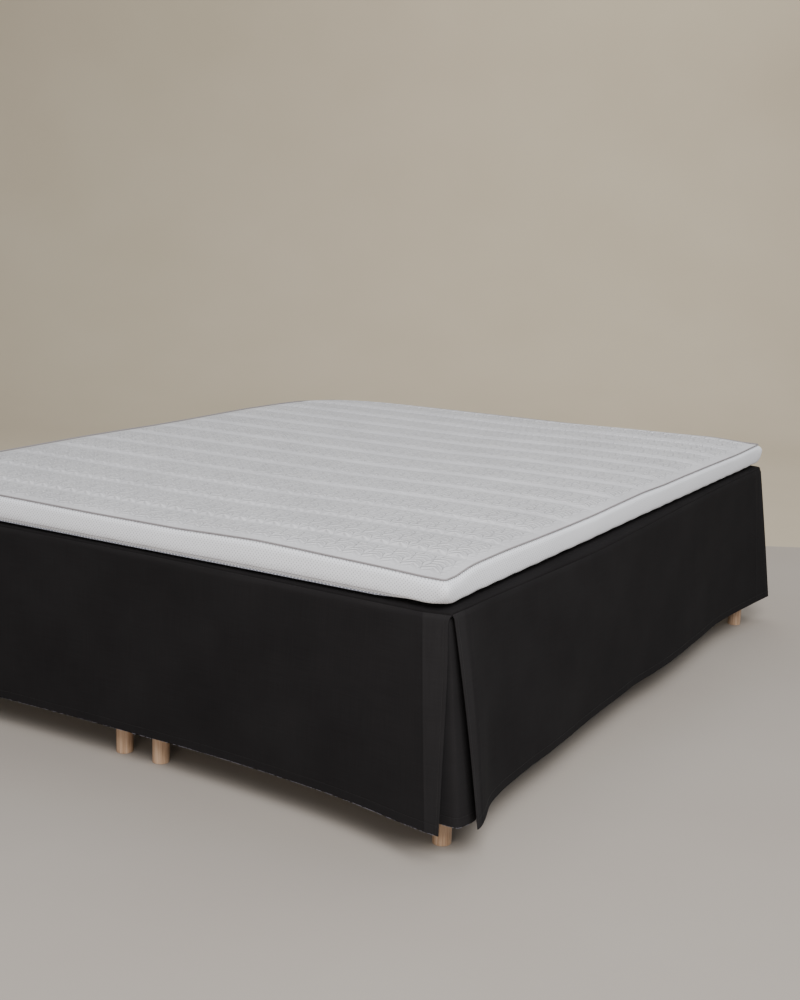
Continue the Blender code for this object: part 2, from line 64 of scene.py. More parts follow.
# %% Sizes of the bed and the skirt
BED_WIDTH = 1.600
BED_LENGTH = 2.000
SEAM_HEIGHT = 0.4950        # where the drops are sewn to the deck
HEM_HEIGHT = 0.080
DROP = SEAM_HEIGHT - HEM_HEIGHT
CLOTH = 0.0009              # one layer of the skirt's cotton
HEM_LAYERS = 0.0022         # the hem: turned up twice, pressed and stitched
HEM_DEPTH = 0.020
HEM_SEWN = 0.0184           # the hem's stitching runs this far above the edge
SIDE_HEM = 0.012            # the narrower hem down each free edge
SIDE_SEWN = 0.0100          # and its stitching this far in from the edge
UNDERSIDE = 0.5030          # of the topper
BODY = "root"               # nothing on a bed skirt moves, so there is one body
print("drop", round(DROP, 3), "m from seam to hem")

# %% [markdown]
# ## Colours and nodes
#
# Colours are picked as sRGB hex values, as on a screen. Shaders work in linear light, so one
# function converts them. The node helper adds a node, sets its properties and its inputs, and
# links the inputs that are given as another node, or as one of its outputs. With it, a
# material reads from top to bottom like a recipe. Every recipe here ends alike: a ramp turns
# the pattern into colour, and a height embosses it.

# %% Helpers for materials
def linear(hex_colour):
    """A linear RGBA colour from an sRGB hex value such as '#8b8f94'."""
    parts = [int(hex_colour[i:i + 2], 16) / 255.0 for i in (1, 3, 5)]
    bright = [c / 12.92 if c <= 0.04045 else ((c + 0.055) / 1.055) ** 2.4 for c in parts]
    return (*bright, 1.0)


def add_node(tree, kind, inputs=None, stops=(), **settings):
    """Add a node, set its properties and a ramp's stops, and fill or link its inputs."""
    made = tree.nodes.new("ShaderNode" + kind)
    for name, value in settings.items():
        setattr(made, name, value)
    for number, (position, colour) in enumerate(stops):
        band = made.color_ramp.elements
        stop = band[number] if number < 2 else band.new(position)
        stop.position = position
        stop.color = linear(colour)
    for name, value in (inputs or {}).items():
        if isinstance(value, bpy.types.Node):
            value = value.outputs[0]
        if isinstance(value, bpy.types.NodeSocket):
            tree.links.new(value, made.inputs[name])
        else:
            made.inputs[name].default_value = value
    return made


def new_material(name, roughness, **sockets):
    """A node material. sockets are constants set on its Principled shader."""
    material = bpy.data.materials.new(name)
    material.use_nodes = True
    shader = material.node_tree.nodes["Principled BSDF"]
    shader.inputs["Roughness"].default_value = roughness
    for socket, value in sockets.items():
        shader.inputs[socket.replace("_", " ")].default_value = value
    return material, material.node_tree


def finished(material, mix, stops, height=None, **relief):
    """Colour a material by a ramp read at mix, emboss it by a height, and return it."""
    tree = material.node_tree
    shader = tree.nodes["Principled BSDF"]
    colour = add_node(tree, "ValToRGB", {"Fac": mix}, stops)
    tree.links.new(colour.outputs["Color"], shader.inputs["Base Color"])
    if height:
        bump = add_node(tree, "Bump", {"Height": height, **relief})
        tree.links.new(bump.outputs["Normal"], shader.inputs["Normal"])
    return material


print("white paper is", [round(c, 3) for c in linear("#e6e6e6")])

# %% [markdown]
# ## Camera
#
# The camera stands near the foot of the bed on its right-hand side, a little above hip
# height, and looks down along the bed's diagonal. Its place and heading are real sizes and
# angles. The small roll is what a hand-held camera has.

# %% The camera
EYE = Vector((2.023, -3.310, 1.258))
HEADING = math.radians(120.133)     # anticlockwise from +X
DOWNWARD = math.radians(11.8)
ROLL = math.radians(2.123)
LENS = 51.13                        # for this many mm over the frame's long side:
SENSOR = 36.0


def aim(heading, downward, roll):
    """A camera's world rotation."""
    level = Vector((math.cos(heading), math.sin(heading), 0.0))
    forward = level * math.cos(downward) - Vector((0.0, 0.0, math.sin(downward)))
    right = forward.cross(Vector((0.0, 0.0, 1.0))).normalized()
    up = right.cross(forward)
    tipped_right = right * math.cos(roll) + up * math.sin(roll)
    tipped_up = up * math.cos(roll) - right * math.sin(roll)
    return Matrix((tipped_right, tipped_up, -forward)).transposed()


camera = bpy.data.objects.new("camera", bpy.data.cameras.new("camera"))
bpy.context.scene.collection.objects.link(camera)
camera.data.lens = LENS
camera.data.sensor_width = SENSOR
camera.matrix_world = Matrix.Translation(EYE) @ aim(HEADING, DOWNWARD, ROLL).to_4x4()
bpy.context.scene.camera = camera
print("camera", [round(c, 2) for c in EYE])

# %% [markdown]
# ## Floor, wall and light
#
# The bed stands in a plain studio. A pale matt floor ends behind the bed. From there a beige
# sweep lies on the ground and then turns up into a wall, far enough away that the bed can be
# looked at from all sides. The light is soft. Most of it comes from a wide lamp above and to
# the right of the camera. A weak warm one low beside the camera reaches into the open corner,
# two more light the top and the sweep, and the bright air of the room fills the shadows.

# %% The studio
FLOOR_START = -3.0          # behind the camera, along its heading
FLOOR_END = 5.40
SWEEP_START = 7.60          # where the sweep begins to turn up
SWEEP_RADIUS = 2.20
HALF_STUDIO = 9.0           # half of the floor's width
WALL_HEIGHT = 4.8
SWEEP_STEPS = 24
MOTTLE = 1.3                # patches of paint to the metre
LAMPS = (                   # name, place, aimed at, width, watts and colour
    ("key_light", (3.4, -3.6, 4.3), (0.0, 0.0, 0.5), 3.0, 420.0, "#fffdfb"),
    ("fill_light", (1.8, -5.6, 1.5), (0.7, -1.0, 0.3), 2.0, 50.0, "#fff1e4"),
    ("top_light", (0.6, 1.1, 4.2), (0.4, 0.6, 0.0), 4.0, 58.0, "#ffffff"),
    ("sweep_light", (-0.2, 3.7, 4.8), (-2.0, 6.0, 1.6), 3.0, 98.0, "#fffaf4"),
)
AIR_COLOUR = "#f3f4f6"
AIR_STRENGTH = 0.46


def paper_strip():
    """The floor and the sweep behind it as one strip, square to the camera's heading."""
    along = Vector((math.cos(HEADING), math.sin(HEADING), 0.0))
    across = Vector((-along.y, along.x, 0.0))
    start = Vector((EYE.x, EYE.y, 0.0))
    profile = [(FLOOR_START, 0.0), (FLOOR_END, 0.0)]
    for step in range(SWEEP_STEPS + 1):
        angle = step / SWEEP_STEPS * math.pi / 2.0
        profile.append((SWEEP_START + SWEEP_RADIUS * math.sin(angle),
                        SWEEP_RADIUS * (1.0 - math.cos(angle))))
    profile.append((SWEEP_START + SWEEP_RADIUS, WALL_HEIGHT))
    corners = []
    for far, height in profile:
        for side in (-HALF_STUDIO, HALF_STUDIO):
            corners.append(start + along * far + across * side + Vector((0.0, 0.0, height)))
    faces = [(2 * i, 2 * i + 2, 2 * i + 3, 2 * i + 1) for i in range(len(profile) - 1)]
    mesh = bpy.data.meshes.new("studio_floor")
    mesh.from_pydata(corners, [], faces)
    mesh.shade_smooth()
    made = bpy.data.objects.new("studio_floor", mesh)
    bpy.context.scene.collection.objects.link(made)
    return made


def matt_paint(name, darker, lighter):
    """Matt emulsion put on with a roller: even, with a faint mottle and no shine."""
    material, tree = new_material(name, 0.85, Specular_IOR_Level=0.2)
    place = add_node(tree, "NewGeometry")
    mottle = add_node(tree, "TexNoise", {"Vector": place, "Scale": MOTTLE, "Detail": 4.0})
    return finished(material, mottle, ((0.3, darker), (0.7, lighter)))


floor = paper_strip()
floor.data.materials.append(matt_paint("matt_floor_paint", "#a19a93", "#a59f98"))
floor.data.materials.append(matt_paint("matt_wall_paint", "#b9af9b", "#beb4a1"))
for face in floor.data.polygons[1:]:
    face.material_index = 1


def soft_light(name, place, aim_at, size, watts, colour):
    """A large square area light, as a softbox or a window gives."""
    lamp = bpy.data.lights.new(name, "AREA")
    lamp.shape = "SQUARE"
    lamp.size = size
    lamp.energy = watts
    lamp.color = linear(colour)[:3]
    made = bpy.data.objects.new(name, lamp)
    bpy.context.scene.collection.objects.link(made)
    made.location = place
    made.rotation_euler = (Vector(aim_at) - Vector(place)).to_track_quat("-Z", "Y").to_euler()
    return made


for row in LAMPS:
    soft_light(*row)
world = bpy.data.worlds.new("studio_air")
world.use_nodes = True
air = world.node_tree.nodes["Background"]
air.inputs["Color"].default_value = linear(AIR_COLOUR)
air.inputs["Strength"].default_value = AIR_STRENGTH
bpy.context.scene.world = world
print("studio:", len(LAMPS), "lamps, sweep", SWEEP_START, "m from the camera")

# %% [markdown]
# ## Cotton, dyed black and pressed
#
# The skirt is a close plain-woven cotton of about 30 threads to the centimetre. From two
# metres away its single threads can't be seen: what the eye gets is a matt black that is a
# trace lighter where the cloth turns to the light, with faint uneven threads along and across
# it. The fibres that stand up from the surface scatter light at a grazing angle, which the
# sheen gives. A pattern needs to know where it is on the cut cloth, not in the room, so each
# piece stores its own "cloth" coordinates in metres, across and down, as a point attribute.
# Their third number is painted highlight: how much lighter the cloth is painted there, from 0 to 1.

# %% The skirt's materials
THREAD_DRAWN = 0.0024       # real threads are 0.33 mm apart, too fine to show, so it is coarser
SLUB = (0.0016, 0.09)       # an uneven thread, as thick and as long as it is drawn
WORN_PATCHES = 5.0          # to the metre, where the dye is a trace weaker
PLY = 1.0 / 900.0           # of a sewing thread, in metres


def drawn_out_noise(tree, place, scale, detail=2.0):
    """Noise with a scale of its own in each direction, so that its patches are streaks."""
    stretched = add_node(tree, "Mapping", {"Vector": place, "Scale": scale})
    return add_node(tree, "TexNoise", {"Vector": stretched, "Scale": 1.0, "Detail": detail})


def uneven_threads(tree, cloth):
    """Noise drawn out along the cloth's two thread directions, from 0 to 1."""
    thin, long = 1.0 / SLUB[0], 1.0 / SLUB[1]
    weft = drawn_out_noise(tree, cloth, (long, thin, 1.0))
    warp = drawn_out_noise(tree, cloth, (thin, long, 1.0))
    both = add_node(tree, "Math", {0: weft, 1: warp}, operation="ADD")
    return add_node(tree, "Math", {0: both, 1: 0.5}, operation="MULTIPLY")


def plain_weave(tree, cloth, pitch):
    """The height of a plain weave: threads of both ways that cross over and under."""
    waves = []
    for direction in ("X", "Y"):
        # A wave texture repeats every 2 pi / (20 scale), so this scale gives one per pitch.
        wave = add_node(tree, "TexWave",
                        {"Vector": cloth, "Scale": math.pi / (10.0 * pitch), "Distortion": 0.0},
                        bands_direction=direction)
        waves.append(wave.outputs["Fac"])
    return add_node(tree, "Math", dict(enumerate(waves)), operation="MULTIPLY")


def black_cotton(name, darker, lighter):
    """Piece-dyed cotton: soft black, quite matt, a trace lighter where a painted highlight is
    stored.
    """
    material, tree = new_material(
        name, 0.95, Specular_IOR_Level=0.02, Sheen_Weight=0.01, Sheen_Roughness=0.5)
    cloth = add_node(tree, "Attribute", attribute_name="cloth").outputs["Vector"]
    threads = uneven_threads(tree, cloth)
    wear = add_node(tree, "TexNoise", {"Vector": cloth, "Scale": WORN_PATCHES, "Detail": 3.0})
    tone = add_node(tree, "Math", {0: threads, 1: wear}, operation="ADD")
    # Painted highlight: the cloth's third number lifts the colour where it is stored.
    pressed = add_node(tree, "SeparateXYZ", {"Vector": cloth}).outputs["Z"]
    level = add_node(tree, "Math", {0: tone, 1: 0.5, 2: pressed}, operation="MULTIPLY_ADD")
    weave = plain_weave(tree, cloth, THREAD_DRAWN)
    height = add_node(tree, "Math", {0: weave, 1: threads}, operation="ADD")
    return finished(material, level, ((0.35, darker), (0.95, lighter)),
                    height, Strength=0.20, Distance=0.0004)


def sewing_thread(name, darker, lighter):
    """Polyester sewing thread, with a slight shine from its twist."""
    material, tree = new_material(name, 0.6, Specular_IOR_Level=0.4)
    place = add_node(tree, "TexCoord").outputs["Object"]
    ply = add_node(tree, "TexNoise", {"Vector": place, "Scale": 1.0 / PLY, "Detail": 1.0})
    return finished(material, ply, ((0.35, darker), (0.65, lighter)))


COTTON = black_cotton("black_plain_cotton", "#1b1a1b", "#282728")
# Painted shade: the same cotton a trace darker, for the deck's margin that lies in the topper's
# shadow.
SHADED_DECK_COTTON = black_cotton("black_cotton_painted_shade", "#1a191a", "#252425")
THREAD = sewing_thread("black_sewing_thread", "#0b0b0b", "#141314")
# Painted glint: pale thread that stands in for the light caught along the hems' folded edges.
HEM_GLINT_THREAD = sewing_thread("pale_thread_painted_glint", "#6d6a76", "#a5a2ae")
print("materials:", COTTON.name, THREAD.name, HEM_GLINT_THREAD.name)

# %% [markdown]
# ## How the cloth hangs
#
# A drop hangs from the seam and swings out a little towards its hem. Beside each open corner
# a pressed crease a hand's width from the free edge turns the flap towards the corner. The
# tables hold one row for each place along a side where the hang changes, and the finer grid
# reads them as smooth curves: samples of the straight table are averaged under a bell whose
# width is the cloth's own softness there, narrow at a pressed crease and wide elsewhere. The
# flaps at an end drop's two sides hang alike, so one is the other's mirror image.

# %% Reading a hang table smoothly
HANG_COLUMNS = ("seam", "hem", "seam_out", "hem_out", "belly", "dip")
END_FLAP = (
    (-0.806, -0.842, 0.0015, 0.0840, 0.000, 0.0030),
    (-0.750, -0.8125, 0.0115, 0.0814, 0.002, 0.0040),
    (-0.700, -0.735, 0.0108, 0.0680, 0.001, 0.0040),
    (-0.640, -0.660, 0.0105, 0.0500, 0.000, 0.0035),
)
END_DROP = (
    *END_FLAP,
    (-0.540, -0.545, 0.0105, 0.0345, 0.000, 0.0030),
    (-0.400, -0.400, 0.0105, 0.0200, 0.002, 0.0015),
    (-0.230, -0.230, 0.0105, 0.0155, 0.001, 0.0005),
    (-0.080, -0.080, 0.0105, 0.0130, 0.000, 0.0000),
    (0.080, 0.080, 0.0105, 0.0120, 0.000, 0.0000),
    (0.250, 0.250, 0.0105, 0.0150, 0.002, 0.0010),
    (0.400, 0.400, 0.0105, 0.0220, 0.003, 0.0020),
    (0.540, 0.545, 0.0105, 0.0345, 0.001, 0.0030),
    *((-row[0], -row[1], *row[2:]) for row in reversed(END_FLAP)),
)
SIDE_DROP = (
    (-0.9975, -1.012, 0.0065, 0.0900, 0.003, 0.0020),
    (-0.968, -1.000, 0.0080, 0.0892, 0.003, 0.0020),
    (-0.937, -0.985, 0.0095, 0.0858, 0.004, 0.0020),
    (-0.917, -0.955, 0.0095, 0.0775, 0.002, 0.0021),
    (-0.898, -0.925, 0.0095, 0.0665, 0.002, 0.0022),
    (-0.878, -0.900, 0.0095, 0.0560, 0.001, 0.0024),
    (-0.850, -0.868, 0.0098, 0.0475, 0.000, 0.0027),
    (-0.810, -0.820, 0.0105, 0.0430, 0.000, 0.0032),
    (-0.700, -0.705, 0.0125, 0.0400, 0.002, 0.0045),
    (-0.560, -0.560, 0.0145, 0.0375, 0.005, 0.0065),
    (-0.440, -0.440, 0.0165, 0.0340, 0.006, 0.0080),
    (-0.330, -0.330, 0.0180, 0.0275, 0.006, 0.0090),
    (-0.170, -0.170, 0.0170, 0.0250, 0.004, 0.0080),
    (0.000, 0.000, 0.0150, 0.0240, 0.002, 0.0060),
    (0.160, 0.160, 0.0130, 0.0320, 0.000, 0.0040),
    (0.350, 0.350, 0.0110, 0.0300, 0.001, 0.0020),
    (0.520, 0.520, 0.0095, 0.0235, 0.002, 0.0010),
    (0.670, 0.670, 0.0090, 0.0180, 0.001, 0.0000),
    (0.840, 0.845, 0.0088, 0.0300, 0.000, 0.0000),
    (0.930, 0.955, 0.0092, 0.0420, 0.002, 0.0010),
    (0.9975, 1.053, 0.0065, 0.0540, 0.001, 0.0020),
)
SOFTNESS = 0.035            # the widest bell that rounds a table's corners
PRESSED = 0.003             # and the narrowest, at a pressed crease
SOFTENING = 0.30            # how fast one becomes the other, away from the crease
BELL_REACH = 4.0            # samples are taken this many bells past the table's ends,
SAMPLE_STEP = 0.003         # and this far apart


def extended(at, places, values):
    """Linear interpolation that runs on in a straight line past both ends."""
    first = (values[1] - values[0]) / (places[1] - places[0])
    last = (values[-1] - values[-2]) / (places[-1] - places[-2])
    past = np.minimum(at - places[0], 0.0) * first + np.maximum(at - places[-1], 0.0) * last
    return np.interp(at, places, values) + past


def read_smoothly(table, spots, creases, pressed=PRESSED, widest=SOFTNESS):
    """A table's other columns at places along its first one, corners rounded."""
    rows = np.array(table)
    away = np.min([np.abs(spots - crease) for crease in creases], axis=0)
    bell = np.minimum(pressed + away * SOFTENING, widest)
    past = BELL_REACH * widest
    samples = np.arange(rows[0, 0] - past, rows[-1, 0] + past, SAMPLE_STEP)
    weights = np.exp(-0.5 * ((spots[:, None] - samples[None, :]) / bell[:, None]) ** 2)
    weights /= weights.sum(axis=1, keepdims=True)
    return [weights @ extended(samples, rows[:, 0], rows[:, k]) for k in range(1, rows.shape[1])]


check = read_smoothly(END_DROP, np.array([0.0, 0.7]), (-0.750, 0.750))
print("hem stands out", np.round(check[2], 4), "m at the middle and beside the corner")

# %% [markdown]
# ## A cut panel as a mesh
#
# A panel is a grid of points. Its lines stand closer together where something small happens,
# such as along the hem's stitching, and further apart where the cloth is smooth. Solidify
# gives the sheet its thickness inwards from the face side, more in the hems, because there
# the cloth lies in three layers.

# %% Helpers for cut panels
GRID_STEP = 0.008           # between grid lines where the cloth is smooth
LEAST_STEP = 0.0004         # lines that would be closer than this are one line
HEM_LINES = (0.0, 0.0012, 0.0035, 0.0075, 0.0120, 0.0155, 0.0168, 0.0176, 0.0184, 0.0192,
             0.0200, 0.0212, 0.0240, 0.0290)
EDGE_LINES = (0.0, 0.0010, 0.0030, 0.0060, 0.0085, 0.0094, 0.0100, 0.0106, 0.0120, 0.0134,
              0.0170)


def grid_lines(length, near_start, near_end, extra=()):
    """Places of grid lines from 0 to length, with given ones near the ends."""
    middle = np.arange(near_start[-1], length - near_end[-1], GRID_STEP)[1:]
    lines = [*near_start, *middle, *(length - place for place in near_end), *extra]
    lines = np.unique(np.round(lines, 6))
    return lines[np.concatenate(([True], np.diff(lines) > LEAST_STEP))]


def place_mesh(name, mesh):
    """A new object in the scene that shows a mesh."""
    made = bpy.data.objects.new(name, mesh)
    bpy.context.scene.collection.objects.link(made)
    return made


def mesh_piece(name, points, faces, materials):
    """A smooth object from an array of points and a list of faces."""
    mesh = bpy.data.meshes.new(name)
    mesh.from_pydata(points.tolist(), [], faces)
    mesh.shade_smooth()
    for material in materials:
        mesh.materials.append(material)
    return place_mesh(name, mesh)


def give_to_kit(made, node=None):
    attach(made, BODY)
    if node:
        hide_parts(node)


def ring_faces(count, rings, first=0):
    """Quads between rings of points, each closed on itself and stored after the last."""
    faces = []
    for ring in range(rings - 1):
        a, b = first + ring * count, first + (ring + 1) * count
        faces += [(a + i, a + (i + 1) % count, b + (i + 1) % count, b + i) for i in range(count)]
    return faces


def store(made, attribute, values):
    """Keep a vector for each point of a mesh under an attribute's name."""
    layer = made.data.attributes.new(attribute, "FLOAT_VECTOR", "POINT")
    layer.data.foreach_set("vector", np.ascontiguousarray(values, dtype=np.float32).ravel())


def grid_faces(across, down):
    """Quads of a grid whose points are stored line after line, facing outward."""
    i, j = np.meshgrid(np.arange(across - 1), np.arange(down - 1), indexing="ij")
    a = (i * down + j).ravel()
    return np.stack((a, a + 1, a + down + 1, a + down), axis=1).tolist()


def cut_panel(name, points, flat_across, flat_down, in_hem, painted_highlight, node):
    """A hung panel from a grid of points [across, down, 3], with cloth coordinates."""
    across, down = points.shape[:2]
    made = mesh_piece(name, points.reshape(-1, 3), grid_faces(across, down), [COTTON])
    u, v = np.meshgrid(flat_across, flat_down, indexing="ij")
    store(made, "cloth", np.stack((u, v, painted_highlight), axis=-1).reshape(-1, 3))
    group = made.vertex_groups.new(name="layers")
    flat = in_hem.ravel()
    group.add(np.flatnonzero(flat).tolist(), 1.0, "REPLACE")
    group.add(np.flatnonzero(~flat).tolist(), CLOTH / HEM_LAYERS, "REPLACE")
    layers = made.modifiers.new("layers", "SOLIDIFY")
    layers.thickness = HEM_LAYERS
    layers.vertex_group = "layers"
    layers.offset = -1.0
    layers.use_even_offset = False
    give_to_kit(made, node)
    return made


print("hem stitching is", HEM_SEWN, "m above the edge")

# %% [markdown]
# ## Relief on a drop
#
# Pressed cotton isn't flat. It keeps long shallow waves, a few creases from its folding, and
# puckers where it is stitched. Sculpting them by hand would give the same look, but a short
# table of creases says where each one runs, and can be changed. Each crease is a soft ridge
# or trough along a line, given by its ends on the cut cloth, its half width and its height.
# The waves and puckers are sums of sines of unequal lengths, which never look repeated.

# %% Relief of the drops
CREASE_COLUMNS = ("across", "down", "to_across", "to_down", "half_width", "height")
# Measured on each panel from its middle, and down from the seam.
FOOT_CREASES = (
    (0.782, 0.012, 0.770, 0.120, 0.0060, 0.0011),
    (0.770, 0.120, 0.762, 0.230, 0.0090, 0.0008),
    (0.797, 0.004, 0.786, 0.060, 0.0030, -0.0008),
    (0.520, 0.060, 0.500, 0.380, 0.0300, 0.0012),
    (0.120, 0.100, 0.180, 0.390, 0.0450, -0.0014),
    (-0.300, 0.040, -0.270, 0.360, 0.0350, 0.0013),
    (-0.560, 0.120, -0.600, 0.400, 0.0300, -0.0010),
    (-0.784, 0.010, -0.770, 0.150, 0.0060, 0.0010),
)
SIDE_CREASES = (
    (-0.992, 0.010, -0.956, 0.052, 0.0035, 0.0010),
    (-0.975, 0.004, -0.940, 0.070, 0.0040, -0.0008),
    (-0.984, 0.060, -0.962, 0.210, 0.0070, 0.0010),
    (-0.780, 0.080, -0.740, 0.380, 0.0350, 0.0006),
    (-0.420, 0.060, -0.380, 0.330, 0.0400, -0.0007),
    (-0.060, 0.100, -0.110, 0.400, 0.0450, 0.0008),
    (0.330, 0.050, 0.380, 0.370, 0.0350, -0.0007),
    (0.700, 0.080, 0.660, 0.390, 0.0400, 0.0006),
    (0.975, 0.010, 0.955, 0.160, 0.0060, 0.0010),
)
WAVES = ((0.62, 0.0012), (0.34, 0.0008), (0.21, 0.0005), (0.13, 0.0003))    # length, height
WAVE_SHARE = 0.6            # of those heights that pressed cotton keeps
WAVE_AT_SEAM = 0.25         # and of these, what is left at the seam
PRESS_HEIGHT = 0.0007       # of the ridge along a crease that the iron has made
PRESS_HALF = 0.0022
PUCKERS = (0.0113, 0.0171)  # lengths of the two ripples along a row of stitches
PUCKER_HEIGHT = 0.00012
PUCKER_SPREAD = 6.0         # they reach this many times further than the groove
GROOVE_DEPTH = 0.00030
HEM_GROOVE = 0.0010         # half width of the groove along the hem's stitching
SIDE_GROOVE = 0.0009
GATHERS = (0.0193, 3.0, 9.0)    # under the seam: their pitch, and how and how often it drifts
GATHER_HEIGHT = 0.00018
GATHER_REACH = 0.012


def creases_at(u, v, creases):
    """Height of all a panel's creases at points of the cut cloth."""
    total = np.zeros_like(u)
    for row in creases:
        crease = dict(zip(CREASE_COLUMNS, row))
        run_u = crease["to_across"] - crease["across"]
        run_v = crease["to_down"] - crease["down"]
        share = (u - crease["across"]) * run_u + (v - crease["down"]) * run_v
        share = np.clip(share / (run_u ** 2 + run_v ** 2), 0.0, 1.0)
        off_u = u - crease["across"] - run_u * share
        off_v = v - crease["down"] - run_v * share
        off = (off_u ** 2 + off_v ** 2) / crease["half_width"] ** 2
        total += crease["height"] * np.exp(-off)
    return total


def long_waves(u, v, seed):
    """Shallow waves of a hand to an arm's length, stronger towards the hem."""
    rng = np.random.default_rng(seed)
    total = np.zeros_like(u)
    for length, height in WAVES:
        lean = rng.uniform(-0.5, 0.5)
        start = rng.uniform(0.0, 2.0 * math.pi)
        total += height * np.sin(2.0 * math.pi * (u + lean * v) / length + start)
    return WAVE_SHARE * (total * (WAVE_AT_SEAM + (1.0 - WAVE_AT_SEAM) * v / DROP))


def uneven_wave(run, pitch, drift, turns, start=0.0, lean=0.0):
    """Waves along a run whose pitch drifts, so that they look made by hand."""
    return np.sin(2.0 * math.pi * run / pitch + drift * np.sin(run * turns + start) + lean)


def stitched_pucker(u, off, half_width, seed):
    """A shallow groove along a line of stitches, with short uneven puckers across it."""
    rng = np.random.default_rng(seed)
    ripple = sum(np.sin(2.0 * math.pi * u / length + rng.uniform(0.0, 6.0)) for length in PUCKERS)
    groove = -GROOVE_DEPTH * np.exp(-(off / half_width) ** 2)
    return groove + PUCKER_HEIGHT * ripple * np.exp(-(off / (PUCKER_SPREAD * half_width)) ** 2)


def drop_relief(u, v, half, presses, creases, seed):
    """Everything that stands out from or sinks into a drop's smooth hang."""
    relief = long_waves(u, v, seed) + creases_at(u, v, creases)
    for press in presses:
        relief += PRESS_HEIGHT * np.exp(-((u - press) / PRESS_HALF) ** 2)
    relief += stitched_pucker(u, v - (DROP - HEM_SEWN), HEM_GROOVE, seed + 1)
    for edge in (-half, half):
        off = (u - edge) * np.sign(-edge) - SIDE_SEWN
        relief += stitched_pucker(v, off, SIDE_GROOVE, seed + 2)
    return relief + GATHER_HEIGHT * uneven_wave(u, *GATHERS, seed) * np.exp(-v / GATHER_REACH)


print(len(FOOT_CREASES), "creases on the foot drop,", len(SIDE_CREASES), "on a side drop")

# %% [markdown]
# ## The four drops
#
# The foot and head drops are alike, and so are the two sides, but each gets its own waves and
# creases. A point of a drop is found from its place along the seam and its share of the drop,
# by the same rule as the solid's, so the fine sheet lies inside the solid it stands for. Just
# below the seam the cloth rolls over the bed's edge, and this narrow strip is painted a trace
# lighter, a painted highlight where the roll catches the light. The flaps beside the open
# corners are painted lighter too, a painted highlight for the light that they catch.

# %% Make the drops
ROLL_DEPTH = 0.0125         # a drop leans out this far below the seam ...
ROLL_OUT = 0.0030           # ... by this much, as it rolls over the bed's edge
FACE_OUT = 0.0006           # the face side lies this far outside the solid's middle
SEAM_LINES = (0.0, 0.002, 0.004, 0.007, 0.010, 0.0135, 0.018)
PRESS_LINES = (-0.004, -0.0015, 0.0, 0.0015, 0.004)
RELIEF_AT_SEAM = 0.15       # share of the relief that the seam leaves
RELIEF_GROWTH = 12.0        # and how fast the rest comes in, in shares of the drop
# Where the painted highlight on the flaps beside the open corners starts, and how strong it is.
FLAP_HIGHLIGHT = {"end": ((-0.750, 0.18), (0.750, 0.20)), "side": ((-0.956, 0.27), (0.930, 0.05))}
FLAP_HIGHLIGHT_EDGE = 0.003         # width of the step from plain to the painted highlight
FLAP_HIGHLIGHT_FADING = 0.15        # share of the painted highlight that is lost down to the hem
SEAM_HIGHLIGHT = {"end": 0.13, "side": 0.02}     # painted highlight: how much lighter the fold beside the seam is painted
SEAM_HIGHLIGHT_DEPTH = 0.011
CURL = 0.0045               # an end drop's free edges curl back this much below the seam
CURL_DEPTH = 0.06           # share of the drop where they do it most
CURL_GROWTH = 1.5           # how late the curl sets in, from the crease to the free edge


def drop_point_grid(table, presses, half_depth, turn, u, v, relief):
    """World points of a drop for grid lines u along the seam and v down from it."""
    hem, seam_out, hem_out, belly, dip = (
        column[:, None] for column in read_smoothly(table, u, presses))
    share = (v / DROP)[None, :]
    roll = np.sin(np.minimum(share * DROP / ROLL_DEPTH, 1.0) * math.pi / 2.0)
    out = seam_out + (hem_out - seam_out) * share + belly * np.sin(math.pi * share)
    out = out + ROLL_OUT * roll * (1.0 - share) + FACE_OUT
    out = out + relief * np.minimum(RELIEF_AT_SEAM + share * RELIEF_GROWTH, 1.0)
    along = u[:, None] + (hem - u[:, None]) * share
    if turn % 2 == 0:
        to_edge = np.clip((np.abs(u) - presses[1]) / (table[-1][0] - presses[1]), 0.0, 1.0)
        curl = share / CURL_DEPTH * np.exp(1.0 - share / CURL_DEPTH)
        along = along - np.sign(u)[:, None] * CURL * (to_edge ** CURL_GROWTH)[:, None] * curl
    top = SEAM_HEIGHT - dip
    height = top + (HEM_HEIGHT - top) * share
    points = np.stack((along, -half_depth - out, height), axis=-1)
    return points @ np.array(Matrix.Rotation(turn * math.pi / 2.0, 3, "Z")).T


def hang_drop(side, table, presses, creases, half_depth, turn, seed):
    """One drop panel as a fine sheet, with its hem and side hems."""
    start, half = table[0][0], table[-1][0]
    near = [place - start + off for place in presses for off in PRESS_LINES]
    u = grid_lines(half - start, EDGE_LINES, EDGE_LINES, near) + start
    v = grid_lines(DROP, SEAM_LINES, HEM_LINES)
    across, down = np.meshgrid(u, v, indexing="ij")
    relief = drop_relief(across, down, half, presses, creases, seed)
    points = drop_point_grid(table, presses, half_depth, turn, u, v, relief)
    in_hem = (down > DROP - HEM_DEPTH) | (np.abs(across) > half - SIDE_HEM)
    kind = "end" if side in ("foot", "head") else "side"
    # Painted highlight: the strip below the seam and the flaps beside the open corners are painted
    # lighter.
    painted_highlight = SEAM_HIGHLIGHT[kind] * np.exp(-(down / SEAM_HIGHLIGHT_DEPTH) ** 2)
    for press, highlight in FLAP_HIGHLIGHT[kind]:
        beyond = (across - press) * np.sign(press) / FLAP_HIGHLIGHT_EDGE
        fading = 1.0 - FLAP_HIGHLIGHT_FADING * down / DROP
        painted_highlight += highlight * np.clip(0.5 + beyond, 0.0, 1.0) * fading
    panel = cut_panel(f"skirt_{side}", points, u, v, in_hem, painted_highlight, f"drop_{side}")
    return panel, u, v, points


